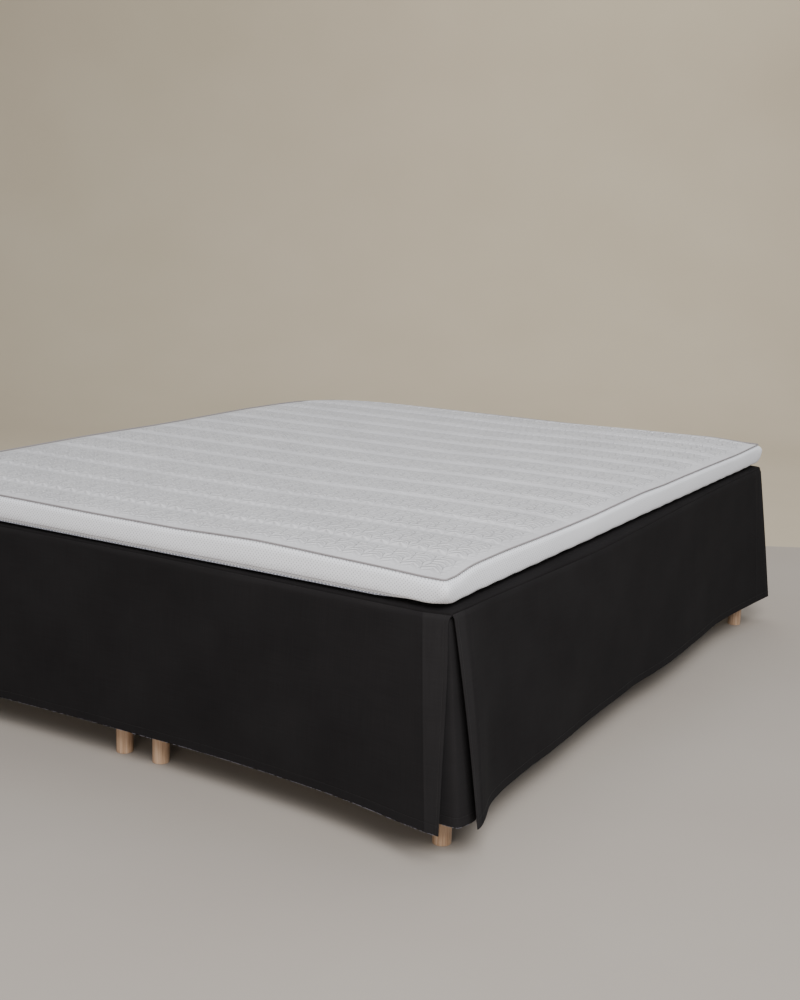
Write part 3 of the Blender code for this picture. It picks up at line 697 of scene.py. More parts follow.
END_PRESSES = (-0.750, 0.750)
SIDE_PRESSES = (-0.937, 0.930)
mirrored = [(-row[0], row[1], -row[2], *row[3:]) for row in FOOT_CREASES]
DROPS = (
    ("foot", END_DROP, END_PRESSES, FOOT_CREASES, BED_LENGTH / 2.0, 0, 11),
    ("right", SIDE_DROP, SIDE_PRESSES, SIDE_CREASES, BED_WIDTH / 2.0, 1, 12),
    ("head", END_DROP, END_PRESSES, mirrored, BED_LENGTH / 2.0, 2, 13),
    ("left", SIDE_DROP, SIDE_PRESSES, SIDE_CREASES[3:], BED_WIDTH / 2.0, 3, 14),
)
drops = {row[0]: hang_drop(*row) for row in DROPS}
print("drops:", [f"{len(u)} x {len(v)} points" for panel, u, v, points in drops.values()])

# %% [markdown]
# ## The underlays behind the corners
#
# Behind each open corner hangs a loose piece that keeps the corner black. It bends round the
# corner of the bed, and its lower end stands further out than its top. Tables give its
# columns from the end behind the foot or head drop to the end behind the side drop, as
# distances from the bed's corner. All four are sewn in alike. At the hem there is a wide kind
# and a narrow one, and each is used at two corners that lie across the bed from each other.

# %% Make the underlays
# For each column: beside and beyond the corner at the seam, and then the same at the hem.
UNDERLAY_SEAM = (
    (-0.0850, 0.0045),
    (-0.0450, 0.0070),
    (-0.0200, 0.0036),
    (-0.0060, 0.0005),
    (-0.0015, -0.0015),
    (0.0005, -0.0060),
    (0.0036, -0.0200),
    (0.0045, -0.0500),
    (0.0045, -0.0850),
)
WIDE_HEM = (
    (-0.040, 0.030),
    (0.000, 0.033),
    (0.025, 0.034),
    (0.046, 0.035),
    (0.058, 0.030),
    (0.062, 0.018),
    (0.066, 0.000),
    (0.070, -0.020),
    (0.052, -0.060),
)
NARROW_HEM = (
    (-0.050, 0.030),
    (-0.012, 0.032),
    (0.010, 0.031),
    (0.024, 0.029),
    (0.032, 0.024),
    (0.035, 0.014),
    (0.036, 0.000),
    (0.034, -0.020),
    (0.028, -0.060),
)
UNDERLAY_TUCK = 0.005       # how far below the seam its top edge is
UNDERLAY_DROP = DROP - UNDERLAY_TUCK
CORNER_ROW = 4              # the row that hangs at the bed's corner, where the cloth is folded
UNDERLAY_SIDE_LINES = EDGE_LINES[:7]
UNDERLAY_SEAM_LINES = (0.0, 0.004)
FOLD_LINES = np.arange(-0.012, 0.013, 0.003)
FOLD_SHARP = 0.004          # the narrowest and the widest bell that round its table
FOLD_SOFT = 0.012
# Painted highlight: the whole underlay is painted a trace lighter, to lift the shade it hangs in
# behind the flaps.
UNDERLAY_HIGHLIGHT = 0.15


def hang_underlay(corner, hem, flip, turn, seed):
    """The loose piece behind an open corner. flip is -1 for a mirrored corner."""
    rows = np.hstack((UNDERLAY_SEAM, hem))
    hem_steps = np.hypot(np.diff(rows[:, 2]), np.diff(rows[:, 3]))
    run = np.concatenate(([0.0], np.cumsum(hem_steps)))
    fold = run[CORNER_ROW]
    u = grid_lines(run[-1], UNDERLAY_SIDE_LINES, UNDERLAY_SIDE_LINES, fold + FOLD_LINES)
    v = grid_lines(UNDERLAY_DROP, UNDERLAY_SEAM_LINES, HEM_LINES)
    columns = read_smoothly(np.column_stack((run, rows)), u, (fold,), FOLD_SHARP, FOLD_SOFT)
    seam_beside, seam_beyond, hem_beside, hem_beyond = (column[:, None] for column in columns)
    share = (v / UNDERLAY_DROP)[None, :]
    across, down = np.meshgrid(u, v, indexing="ij")
    relief = long_waves(across, down, seed) * np.minimum(share * 4.0, 1.0)
    relief += stitched_pucker(across, down - (UNDERLAY_DROP - HEM_SEWN), HEM_GROOVE, seed)
    beside = seam_beside + (hem_beside - seam_beside) * share
    beyond = seam_beyond + (hem_beyond - seam_beyond) * share
    lean = math.sqrt(0.5)
    x = BED_WIDTH / 2.0 + beside + relief * lean
    y = -BED_LENGTH / 2.0 - beyond - relief * lean
    top = SEAM_HEIGHT - UNDERLAY_TUCK
    z = np.broadcast_to(top + (HEM_HEIGHT - top) * share, x.shape)
    points = np.stack((flip * x, y, z), axis=-1)
    if flip < 0:
        points, u = points[::-1], u[::-1]
    points = points @ np.array(Matrix.Rotation(turn * math.pi, 3, "Z")).T
    in_hem = np.broadcast_to(v > UNDERLAY_DROP - HEM_DEPTH, x.shape)
    painted_highlight = np.full_like(across, UNDERLAY_HIGHLIGHT)
    panel = cut_panel(f"corner_underlay_{corner}", points, u, v, in_hem, painted_highlight,
                      f"underlay_{corner}")
    return panel, u, v, points


UNDERLAYS = (
    ("foot_right", WIDE_HEM, 1, 0, 21),
    ("foot_left", NARROW_HEM, -1, 0, 22),
    ("head_left", WIDE_HEM, 1, 1, 23),
    ("head_right", NARROW_HEM, -1, 1, 24),
)
underlays = {row[0]: hang_underlay(*row) for row in UNDERLAYS}
print("underlays:", [f"{len(u)} x {len(v)} points" for panel, u, v, points in underlays.values()])

# %% [markdown]
# ## Hem stitches
#
# A lockstitch shows as a row of short thread bars that lie in a shallow groove. Each bar is a
# small pillow of 26 faces, laid along the row by its own direction and the cloth's outward
# direction. One joined mesh holds a whole panel's rows, because thousands of single objects
# would be slow to handle. Along the lowest edge of the foot and head drops and the underlays,
# short pale thread bars are a painted glint: the light that the hem's folded edge catches.

# %% Sew the hems
STITCH = 0.0036             # from one stitch to the next
STITCH_BAR = 0.0027         # length of the thread that shows
GLINT_SHARE = 0.6            # share of the spots along the lowest edge where the painted glint shows
GLINT_SEED = 31
THREAD_RADIUS = 0.00050
THREAD_FLAT = 0.7           # its height over its width, pulled flat on the cloth
BAR_SECTIONS = ((-0.5, 0.25), (-0.36, 0.85), (0.0, 1.0), (0.36, 0.85), (0.5, 0.25))
BAR_SIDES = 6


def resample(path, normals, pitch):
    """Points and normals at an even pitch along a path."""
    steps = np.linalg.norm(np.diff(path, axis=0), axis=1)
    run = np.concatenate(([0.0], np.cumsum(steps)))
    spots = np.arange(pitch, run[-1] - pitch, pitch)
    even = np.stack([np.interp(spots, run, path[:, k]) for k in range(3)], axis=1)
    out = np.stack([np.interp(spots, run, normals[:, k]) for k in range(3)], axis=1)
    return even, out / np.linalg.norm(out, axis=1, keepdims=True)


def stitch_bars(places, normals):
    """Points and faces of thread bars at places along a row."""
    ahead = np.gradient(places, axis=0)
    ahead /= np.linalg.norm(ahead, axis=1, keepdims=True)
    side = np.cross(ahead, normals)
    angles = np.arange(BAR_SIDES) * 2.0 * math.pi / BAR_SIDES
    rings = []
    for share, wide in BAR_SECTIONS:
        for angle in angles:
            across = side * math.cos(angle) + normals * math.sin(angle) * THREAD_FLAT
            rings.append(places + ahead * STITCH_BAR * share + across * THREAD_RADIUS * wide)
    last = (len(BAR_SECTIONS) - 1) * BAR_SIDES
    caps = [tuple(reversed(range(BAR_SIDES))), tuple(range(last, last + BAR_SIDES))]
    return np.stack(rings, axis=1), ring_faces(BAR_SIDES, len(BAR_SECTIONS)) + caps


def grid_normals(points):
    """Outward direction at each point of a panel's grid."""
    across = np.gradient(points, axis=0)
    down = np.gradient(points, axis=1)
    normals = np.cross(down, across)
    return normals / np.linalg.norm(normals, axis=-1, keepdims=True)


def thread_piece(name, bars, faces, thread):
    """One mesh from the points of many bars [bar, point, 3] and the faces of one."""
    starts = np.arange(len(bars)) * bars.shape[1]
    all_faces = [[start + corner for corner in face] for start in starts.tolist() for face in faces]
    made = mesh_piece(name, bars.reshape(-1, 3), all_faces, [thread])
    give_to_kit(made)
    return made


def sew(name, u, v, points, depth, places=()):
    """Stitch rows on a panel: along it at a depth from the seam, and down it at places."""
    normals = grid_normals(points)
    j = int(np.argmin(np.abs(v - depth)))
    rows = [(points[:, j], normals[:, j])]
    for place in places:
        i = int(np.argmin(np.abs(u - place)))
        rows.append((points[i], normals[i]))
    sewn = [stitch_bars(*resample(path, out, STITCH)) for path, out in rows]
    return thread_piece(name, np.concatenate([bars for bars, _ in sewn]), sewn[0][1], THREAD)


def paint_hem_glint(name, points, seed):
    """Pale thread bars along a hem's lowest edge, a painted glint of its folded edge."""
    rng = np.random.default_rng(seed)
    edge = points[:, -1]
    below = np.tile((0.0, 0.0, -1.0), (len(edge), 1))
    bars, faces = stitch_bars(*resample(edge, below, STITCH))
    bars = bars[rng.random(len(bars)) < GLINT_SHARE]
    return thread_piece(name, bars, faces, HEM_GLINT_THREAD)


for side, (panel, u, v, points) in drops.items():
    edge_rows = (u[0] + SIDE_SEWN, u[-1] - SIDE_SEWN)
    sew(f"stitches_{side}", u, v, points, DROP - HEM_SEWN, edge_rows)
for corner, (panel, u, v, points) in underlays.items():
    sew(f"stitches_{corner}", u, v, points, UNDERLAY_DROP - HEM_SEWN)
# Painted glint along the hems' folded edges.
glinting_hems = {"foot": drops["foot"], "head": drops["head"], **underlays}
for number, (place, cut) in enumerate(glinting_hems.items()):
    paint_hem_glint(f"edge_thread_{place}", cut[3], GLINT_SEED + number)

# %% [markdown]
# ## The deck
#
# The deck is one sheet, pulled over both bases and turned down over their rounded edge to the
# seam. It is modelled as rings: the outermost follows the drops' top edges exactly, the next
# ones climb over the edge on a quarter of an ellipse, and the innermost closes the flat part.
# Only the margin round the topper shows, so that is where the rings are close together, with
# the small ripples that a seam draws into the cloth beside it.

# %% Make the deck
SEAM_GAP = 0.0004           # between its edge and the drops' top edges
DECK_TURN = 0.020           # how far inside the bed's edge the deck starts to turn down
DECK_LIP = 0.0022           # upright strip above the seam
DECK_CUT = 0.005            # cut off the corners of the flat part
DECK_FLAT = 0.5015          # height of the flat part
DECK_TUCK = (0.0006, 0.0045)    # its seam allowance: this far inside a drop, this far down
DECK_MIDDLE = 0.97          # the innermost ring's size, as a share of the flat part's
TURN_STEPS = 9
RIPPLES = (0.0173, 0.0291)  # lengths of the two ripples that the seam draws into the deck
RIPPLE_HEIGHT = 0.0003


def deck_edge(table, presses, half_depth, half_along, turn, u):
    """World points along the seam, and where the deck starts to turn, for one side."""
    columns = dict(zip(HANG_COLUMNS[1:], read_smoothly(table, u, presses)))
    seam_out, dip = columns["seam_out"], columns["dip"]
    seam = np.stack((u, -half_depth - seam_out, SEAM_HEIGHT - dip + SEAM_GAP), axis=1)
    flat_along = half_along - DECK_TURN - DECK_CUT
    along = np.clip(u, -flat_along, flat_along)
    flat = np.stack((along, np.full_like(u, -half_depth + DECK_TURN),
                     np.full_like(u, DECK_FLAT)), axis=1)
    spin = np.array(Matrix.Rotation(turn * math.pi / 2.0, 3, "Z")).T
    return seam @ spin, flat @ spin


def make_deck():
    """The sheet over the bases, from the seam inwards."""
    edges = []
    for side, table, presses, _, half_depth, turn, _ in DROPS:
        half_along = BED_WIDTH / 2.0 if turn % 2 == 0 else BED_LENGTH / 2.0
        edges.append(deck_edge(table, presses, half_depth, half_along, turn, drops[side][1]))
    seam, flat = (np.concatenate(parts) for parts in zip(*edges))
    run = np.concatenate(([0.0], np.cumsum(np.linalg.norm(np.diff(seam, axis=0), axis=1))))
    ripple = sum(np.sin(2.0 * math.pi * run / length + k) for k, length in enumerate(RIPPLES))
    inward = (flat - seam) * (1.0, 1.0, 0.0)
    inward /= np.linalg.norm(inward, axis=1, keepdims=True)
    rings = [seam + inward * DECK_TUCK[0] - (0.0, 0.0, DECK_TUCK[1]), seam]
    for step in range(TURN_STEPS + 1):
        angle = (1.0 - step / TURN_STEPS) * math.pi / 2.0
        lip = seam[:, 2] + DECK_LIP
        ring = flat + (seam - flat) * math.sin(angle)
        ring[:, 2] = lip + (flat[:, 2] - lip) * math.cos(angle)
        ring[:, 2] += RIPPLE_HEIGHT * ripple * math.sin(angle) * math.cos(angle)
        rings.append(ring)
    rings.append(flat * (DECK_MIDDLE, DECK_MIDDLE, 1.0))
    points = np.concatenate(rings)
    count = len(seam)
    faces = ring_faces(count, len(rings))
    faces.append(tuple(range((len(rings) - 1) * count, len(rings) * count)))
    # The deck's cotton is painted a trace darker, as painted shade under the topper.
    made = mesh_piece("skirt_deck_sheet", points, faces, [SHADED_DECK_COTTON])
    store(made, "cloth", points * (1.0, 1.0, 0.0))
    layer = made.modifiers.new("layer", "SOLIDIFY")
    layer.thickness = CLOTH
    layer.offset = 0.0
    give_to_kit(made, "skirt_deck")
    return made


deck = make_deck()
print(deck.name, len(deck.data.vertices), "points")

# %% [markdown]
# ## Cloth facts
#
# A drop is cut as long as its hem with both side hems, and as deep as the drop with a hem that is
# turned up twice and the seam allowance. The deck is the bed's top with the strip that turns
# down all round.

# %% [markdown]
# ## White knit, mesh and piping
#
# The topper's top is a stretch knit quilted to a thin wadding. Its stitches sink the knit in
# a scale pattern, and the wadding lifts it between them. Its border is a spacer mesh: two
# knitted faces held apart, with rows of tiny holes 3 mm apart that read as a fine dot grid.
# The top's puffs and channels are in the mesh itself. The fine raised leaves and the
# knit's loops are bump, and the knit is painted a trace darker between the leaves, as painted
# shade. The leaves are stripes along the bed's width that run up and down in a zigzag. A chain
# of flat diamonds, outlined by the stitching, interrupts them along every second turn.

# %% The topper's materials
DOT_PITCH = 0.0058          # real holes are 3 mm apart, drawn coarser so that they show
LEAF_PITCH = 0.0170         # from one raised leaf of the quilting to the next
LEAF_WIDTH = 0.0225         # across a column of leaves, which slant the other way in the next
LEAF_SLANT = 0.70           # tangent of their angle
DIAMOND_HALF = 0.0257       # half of one diamond's length, along the bed
DIAMOND_SHAPE = 0.30        # its width over its length
EDGE_OF_LEAVES = 0.0030     # the leaves come to their height this far from a diamond
DIAMOND_LINE = 0.0022       # half width of the sunk line round a diamond
KNIT_LOOP = 0.0030          # a real loop is 1 mm, too fine to show
LOOP_SHARE = 0.05           # height of a loop over a leaf's
LEAF_PAINTED_SHADE = 0.30           # painted shade: how much darker the knit is painted between its raised leaves
KNIT_CLOUDS = 6.0           # soft patches of tone to the metre
BIAS = (0.0, 0.0, math.radians(45.0))
SPACER_JITTER = 0.12        # how unevenly the holes are spaced


def white_stretch_knit():
    """Bleached polyester jersey, brushed soft: matt, a cool white."""
    material, tree = new_material(
        "white_stretch_knit", 0.85, Specular_IOR_Level=0.3, Sheen_Weight=0.08)
    cloth = add_node(tree, "Attribute", attribute_name="cloth").outputs["Vector"]
    loops = add_node(tree, "TexVoronoi", {"Vector": cloth, "Scale": 1.0 / KNIT_LOOP})
    tone = add_node(tree, "TexNoise", {"Vector": cloth, "Scale": KNIT_CLOUDS, "Detail": 3.0})
    place = add_node(tree, "SeparateXYZ", {"Vector": cloth})
    x, y = place.outputs["X"], place.outputs["Y"]
    zigzag = add_node(tree, "Math", {0: x, 1: LEAF_WIDTH}, operation="PINGPONG")
    slanted = add_node(tree, "Math", {0: zigzag, 1: -LEAF_SLANT, 2: y}, operation="MULTIPLY_ADD")
    turns = add_node(tree, "Math", {0: slanted, 1: 2.0 * math.pi / LEAF_PITCH},
                     operation="MULTIPLY")
    leaves = add_node(tree, "Math", {0: turns}, operation="SINE")
    chain = add_node(tree, "Math", {0: y, 1: DIAMOND_HALF}, operation="PINGPONG")
    outside = add_node(tree, "Math", {0: chain, 1: -DIAMOND_SHAPE, 2: zigzag},
                       operation="MULTIPLY_ADD")
    on_leaf = add_node(tree, "MapRange",
                       {"Value": outside, "From Min": 0.0, "From Max": EDGE_OF_LEAVES})
    off_line = add_node(tree, "Math", {0: outside}, operation="ABSOLUTE")
    stitched = add_node(tree, "MapRange",
                        {"Value": off_line, "From Min": 0.0, "From Max": DIAMOND_LINE})
    leafy = add_node(tree, "Math", {0: leaves, 1: on_leaf, 2: stitched},
                     operation="MULTIPLY_ADD")
    quilt = add_node(tree, "Attribute", attribute_name="quilt").outputs["Vector"]
    shown = add_node(tree, "SeparateXYZ", {"Vector": quilt}).outputs["X"]
    raised = add_node(tree, "Math", {0: leafy, 1: shown}, operation="MULTIPLY")
    # Painted shade: the grooves between the raised leaves are painted darker.
    painted_shade_and_tone = add_node(tree, "Math", {0: raised, 1: LEAF_PAINTED_SHADE, 2: tone}, operation="MULTIPLY_ADD")
    height = add_node(tree, "Math", {0: loops, 1: LOOP_SHARE, 2: raised},
                      operation="MULTIPLY_ADD")
    return finished(material, painted_shade_and_tone, ((0.10, "#b1b2b6"), (0.90, "#cdced2")),
                    height, Strength=1.0, Distance=0.0026)


def white_spacer_mesh():
    """White polyester spacer mesh: bright, matt, with rows of pin holes."""
    material, tree = new_material("white_spacer_mesh", 0.8, Specular_IOR_Level=0.3)
    cloth = add_node(tree, "Attribute", attribute_name="cloth").outputs["Vector"]
    slanted = add_node(tree, "Mapping", {"Vector": cloth, "Rotation": BIAS})
    dots = add_node(tree, "TexVoronoi", {"Vector": slanted, "Scale": 1.0 / DOT_PITCH,
                                         "Randomness": SPACER_JITTER})
    return finished(material, dots, ((0.12, "#acafb5"), (0.32, "#e6e9ef")),
                    dots, Strength=0.3, Distance=0.0008)


def woven_piping(name, pitch, darker, lighter):
    """A cord in a bias-cut sleeve: matt, with a slanting weave."""
    material, tree = new_material(name, 0.75, Specular_IOR_Level=0.3)
    cloth = add_node(tree, "Attribute", attribute_name="cloth").outputs["Vector"]
    slanted = add_node(tree, "Mapping", {"Vector": cloth, "Rotation": BIAS})
    weave = plain_weave(tree, slanted, pitch)
    return finished(material, weave, ((0.0, darker), (1.0, lighter)),
                    weave, Strength=0.4, Distance=0.0003)


KNIT = white_stretch_knit()
SPACER = white_spacer_mesh()
PIPING = woven_piping("grey_woven_piping", 0.0016, "#827e80", "#a19da0")
CORDING = woven_piping("blue_grey_cording", 0.0060, "#6f7484", "#dfe1e8")
print("materials:", KNIT.name, SPACER.name, PIPING.name, CORDING.name)

# %% [markdown]
# ## The topper's form
#
# The topper lies loose on the bed, so its border is wavy: its top edge rides up over the
# fuller parts of the foam. The same short tables as in the solid give that ride, for places
# along each side. The rise of the top is the foam's crown and the ride of the nearest sides,
# less the quilting channels that run across the bed and the slump of the softest corner.
# Between two channels the knit puffs up at once and then falls more and more, because the
# quilting pulls it one way.

# %% Heights of the topper
TOPPER_WIDTH = 1.604
TOPPER_LENGTH = 2.036
HALF_X = TOPPER_WIDTH / 2.0
HALF_Y = TOPPER_LENGTH / 2.0
TOPPER_CORNER = 0.050       # plan radius at its underside
TOPPER_EDGE = 0.060         # height of its border
CROWN_LEFT = 0.0105         # how far its middle stands above the border, on the left
CROWN_RIGHT = 0.0175        # the same on the right, where the foam is fuller
CROWN_STEP = (0.05, 0.45)   # x where the one starts to turn into the other, and where it ends
CROWN_REACH = 0.035         # the crown rises within about this far of the edge
RIDE_FIRST = -0.905         # y of the first place in the table of the ride along the sides
CHANNEL_PITCH = 0.1545      # between its places, and between the quilting channels
QUILT_FIRST = -0.884        # y of the channel nearest the foot
CHANNEL_DEPTH = 0.0062
CHANNEL_FADE = 0.050        # the channels run out this far from the edge
PUFF_RISE = 0.028           # share of the pitch in which a puff rises behind a channel
PUFF_FALL = 2.0             # how late it falls towards the next one
LIFT_REACH = 0.060          # the ride of a side levels out within about this far of it
LIFT_STEP = 0.005
LIFT_SOFTNESS = 0.018       # the bell that rounds the ride's table
FALLEN_CORNER = (-HALF_X, HALF_Y)
CORNER_FALL = 0.0110
CORNER_REACH = 0.15
BORDER_COLUMNS = ("inset", "height", "corner", "swell")
BORDER_RINGS = (
    (0.0110, 0.0600, 0.010, 0.0000),
    (0.0028, 0.0530, 0.011, 0.0015),
    (0.0006, 0.0420, 0.015, 0.0050),
    (0.0000, 0.0240, 0.022, 0.0025),
    (0.0040, 0.0110, 0.036, 0.0000),
    (0.0150, 0.0022, 0.044, 0.0000),
    (0.0420, 0.0000, 0.050, 0.0000),
)
# The same where the border's fabric bulges over the lower piping, all round but for most of
# the foot.
SAGGING_RINGS = (
    *BORDER_RINGS[:3],
    (0.0000, 0.0260, 0.020, 0.0030),
    (0.0020, 0.0120, 0.032, 0.0000),
    (0.0110, 0.0082, 0.040, 0.0000),
    BORDER_RINGS[-1],
)
SAG_START = (0.64, 0.74)    # x along the foot where the sag sets in and is full
SAG_FROM_FOOT = 0.015       # and at the left corner, how far from the foot it sets in
SAG_GROWTH = 100.0          # and its growth there to the metre
SWELL_REACH = 0.050         # a ring's swell dies out this far from a corner
ACROSS_LIFT = (             # x, and how far the foot's and the head's top edge ride up there
    (-0.752, 0.0019, -0.0064),
    (-0.600, 0.0019, -0.0064),
    (-0.350, 0.0031, -0.0047),
    (-0.100, 0.0011, -0.0032),
    (0.150, 0.0017, -0.0024),
    (0.250, 0.0049, -0.0007),
    (0.350, 0.0075, 0.0013),
    (0.450, 0.0055, 0.0030),
    (0.550, 0.0026, 0.0048),
    (0.650, 0.0002, 0.0072),
    (0.752, -0.0036, 0.0022),
)
BESIDE_LIFT = (             # how far the right and the left one do, from foot to head
    (0.0048, 0.0000),
    (0.0055, 0.0010),
    (0.0028, 0.0020),
    (0.0012, 0.0030),
    (0.0007, 0.0038),
    (0.0032, 0.0028),
    (0.0052, 0.0008),
    (0.0021, 0.0008),
    (0.0023, 0.0018),
    (0.0017, 0.0028),
    (0.0007, 0.0008),
    (-0.0009, -0.0022),
)
RIDE_PLACES = RIDE_FIRST + CHANNEL_PITCH * np.arange(len(BESIDE_LIFT))


def side_lifts():
    """For each side: places along it, and how far the top edge rides up there."""
    across, beside = np.array(ACROSS_LIFT), np.array(BESIDE_LIFT)
    end_y = HALF_Y - TOPPER_CORNER
    places_y = np.array([-end_y, *RIDE_PLACES, end_y])
    tables = {
        "foot": (across[:, 0], across[:, 1]),
        "head": (across[:, 0], across[:, 2]),
        "right": (places_y, np.array([across[-1, 1], *beside[:, 0], across[-1, 2]])),
        "left": (places_y, np.array([across[0, 1], *beside[:, 1], across[0, 2]])),
    }
    curves = {}
    for side, (places, lifts) in tables.items():
        spots = np.arange(places[0], places[-1], LIFT_STEP)
        table = np.column_stack((places, lifts))
        nowhere = (places[-1] + 1.0,)
        curves[side] = (spots, read_smoothly(table, spots, nowhere, widest=LIFT_SOFTNESS)[0])
    return curves


LIFTS = side_lifts()


def corner_fall(x, y):
    """How far the softest corner has slumped, at a place on the top."""
    away = np.hypot(x - FALLEN_CORNER[0], y - FALLEN_CORNER[1])
    return CORNER_FALL * np.exp(-(away / CORNER_REACH) ** 2)


def rim_lift(x, y):
    """How far the rim nearest to a point rides up, shared softly between two sides."""
    beside = np.where(x > 0.0, np.interp(y, *LIFTS["right"]), np.interp(y, *LIFTS["left"]))
    beyond = np.where(y > 0.0, np.interp(x, *LIFTS["head"]), np.interp(x, *LIFTS["foot"]))
    near_side = np.exp(-(HALF_X - np.abs(x)) / LIFT_REACH)
    near_end = np.exp(-(HALF_Y - np.abs(y)) / LIFT_REACH)
    shared = (beside * near_side ** 2 + beyond * near_end ** 2) / (near_side ** 2 + near_end ** 2)
    return shared - corner_fall(x, y), np.maximum(near_side, near_end)


def top_rise(x, y):
    """Height of the topper's top above its border."""
    from_side, from_end = HALF_X - np.abs(x), HALF_Y - np.abs(y)
    step = np.clip((x - CROWN_STEP[0]) / (CROWN_STEP[1] - CROWN_STEP[0]), 0.0, 1.0)
    crown = CROWN_LEFT + (CROWN_RIGHT - CROWN_LEFT) * step * step * (3.0 - 2.0 * step)
    dome = (1.0 - np.exp(-from_side / CROWN_REACH)) * (1.0 - np.exp(-from_end / CROWN_REACH))
    lift, near = rim_lift(x, y)
    return crown * dome + lift * near - corner_fall(x, y) * (1.0 - near)


def channel_valley(x, y):
    """How far the top lies below its puffs: most along the channels, nothing at the rim."""
    share = np.mod((y - QUILT_FIRST) / CHANNEL_PITCH, 1.0)
    puff = (1.0 - np.exp(-share / PUFF_RISE)) * (1.0 - share ** PUFF_FALL)
    inside = np.minimum(HALF_X - np.abs(x), HALF_Y - np.abs(y))
    return CHANNEL_DEPTH * (1.0 - puff) * np.clip(inside / CHANNEL_FADE, 0.0, 1.0)


print("ride tables at", [round(float(place), 3) for place in RIDE_PLACES])

# %% [markdown]
# ## Quilted scales
#
# Between two channels lie three rows of scales. A scale is a puff with a round front edge
# where the stitching draws the knit down, and each row is set half a scale along from the
# last. Short raised leaves lie over the scales, a little higher on their crests, and only a
# plain strip beside each channel has none. The scales' form goes into the mesh, which has a
# point every 8 mm. The leaves are only 17 mm apart, too fine for it, so the mesh stores how
# much of them shows at each point. The material's bump draws them, and it paints shade
# between them.

# %% Quilt pattern
SCALE_PITCH = 0.0455        # along the bed's width
SCALE_ROWS = 3              # between two channels
SCALE_HEIGHT = 0.0015
SCALE_ARC = 0.42            # how far back its front edge is beside its middle, as a share of it
SCALE_RISE = 1.6            # it is at its height after 1 / 1.6 of its length
SCALE_FALL = 0.75           # share of the height that it loses to its back
SCALE_SIDE = 0.35           # and to its sides
CREST_PLACE = 0.55          # share of its length where its crest is
CREST_HALF = 0.28           # half the crest's size, as a share of the scale's
QUILT_EDGE = (0.012, 0.022)     # the pattern sets in this far inside the rim, and grows in this
LEAF_GAP = 0.012            # plain strip before a channel, and the growing one behind it
LEAF_DELAY = 0.4            # share of that strip that is plain behind it
LEAF_BESIDE = 0.75          # share of a leaf's height beside the crests


def scale_pattern(x, y):
    """For each point: the puff's height, and how much it is on a crest, both from 0 to 1."""
    row_pitch = CHANNEL_PITCH / SCALE_ROWS
    row = np.floor((y - QUILT_FIRST) / row_pitch)
    along = x / SCALE_PITCH + 0.5 * np.mod(row, 2.0)
    across = along - np.floor(along) - 0.5
    up = (y - QUILT_FIRST) / row_pitch - row
    # The scale's front edge is an arc, so the puff starts later beside its middle.
    front = SCALE_ARC * (2.0 * np.abs(across)) ** 2.0
    inside = np.clip((up - front) / (1.0 - front + 1e-6), 0.0, 1.0)
    puff = np.sin(math.pi * np.minimum(inside * SCALE_RISE, 1.0) / 2.0)
    puff = puff * (1.0 - SCALE_FALL * inside ** 2)
    puff = puff * (1.0 - SCALE_SIDE * (2.0 * np.abs(across)) ** 4.0)
    off_crest = (across / CREST_HALF) ** 2 + ((up - CREST_PLACE) / CREST_HALF) ** 2
    return puff, np.exp(-off_crest ** 2)


def leaves_shown(y, crest, patterned):
    """How much of the leaves shows at each point, from 0 to 1."""
    beyond = np.mod(y - QUILT_FIRST, CHANNEL_PITCH)
    behind = np.clip(beyond / LEAF_GAP - LEAF_DELAY, 0.0, 1.0)
    before = np.clip((CHANNEL_PITCH - beyond) / LEAF_GAP, 0.0, 1.0)
    return (LEAF_BESIDE + (1.0 - LEAF_BESIDE) * crest) * patterned * (behind * before)


sample = scale_pattern(np.array([0.0, 0.02]), np.array([-0.88, -0.88]))
print("puff heights", np.round(sample[0], 2))

# %% [markdown]
# ## The topper as one mesh
#
# The top is a grid with closer lines near its rim and its channels. Its outer loop is then
# repeated downwards as rings, each with its own inset, height and corner radius, and the last
# ring is closed as the flat underside. The border's first ring lies exactly on the top's edge
# but has its own points, because the mesh fabric is another cloth, with its own coordinates
# round the bed. The rings go from the plain border's to the sagging one's, by how much the
# fabric sags at each place.

# %% Make the topper
CHANNEL_LINES = (-0.0015, 0.0, 0.0020, 0.0045, 0.0085, 0.0140)
RIM_LINES = (0.0, 0.003, 0.007, 0.012, 0.018, 0.025, 0.033, 0.042, 0.050)
BORDER_STEPS = 20
FOLDS = (0.021, 5.0, 11.0)  # at the border's corners: their pitch, and how it drifts
FOLD_LEAN = 60.0            # how much they slant
FOLD_HEIGHT = 0.0006
FOLD_REACH = 0.07
BORDER_WAVES = (0.37, 0.23)     # lengths of the soft waves all round it
BORDER_WAVE_HEIGHT = 0.0004
LOW_EDGE = (0.010, 0.006)   # height and half width of the strip whose level wavers
WAVERS = (0.083, 3.0, 4.0)
WAVER_HEIGHT = 0.0005


def ring_profile(table, steps):
    """The border's rings from top to bottom, read as a smooth curve through the table."""
    rows = np.array(table)
    padded = np.vstack((2.0 * rows[0] - rows[1], rows, 2.0 * rows[-1] - rows[-2]))
    profile = []
    for place in np.linspace(0.0, len(rows) - 1.0, steps + 1):
        k = min(int(place), len(rows) - 2)
        t = place - k
        p0, p1, p2, p3 = padded[k:k + 4]
        curve = 2.0 * p1 + (p2 - p0) * t + (2.0 * p0 - 5.0 * p1 + 4.0 * p2 - p3) * t * t
        curve = (curve + (3.0 * p1 - p0 - 3.0 * p2 + p3) * t ** 3) / 2.0
        profile.append(dict(zip(BORDER_COLUMNS, curve)))
    return profile


def corner_radius(x, y, radius):
    """The corner at the head's left is slack, and rounder than the others."""
    return np.where((x < 0.0) & (y > 0.0), TOPPER_CORNER, radius)


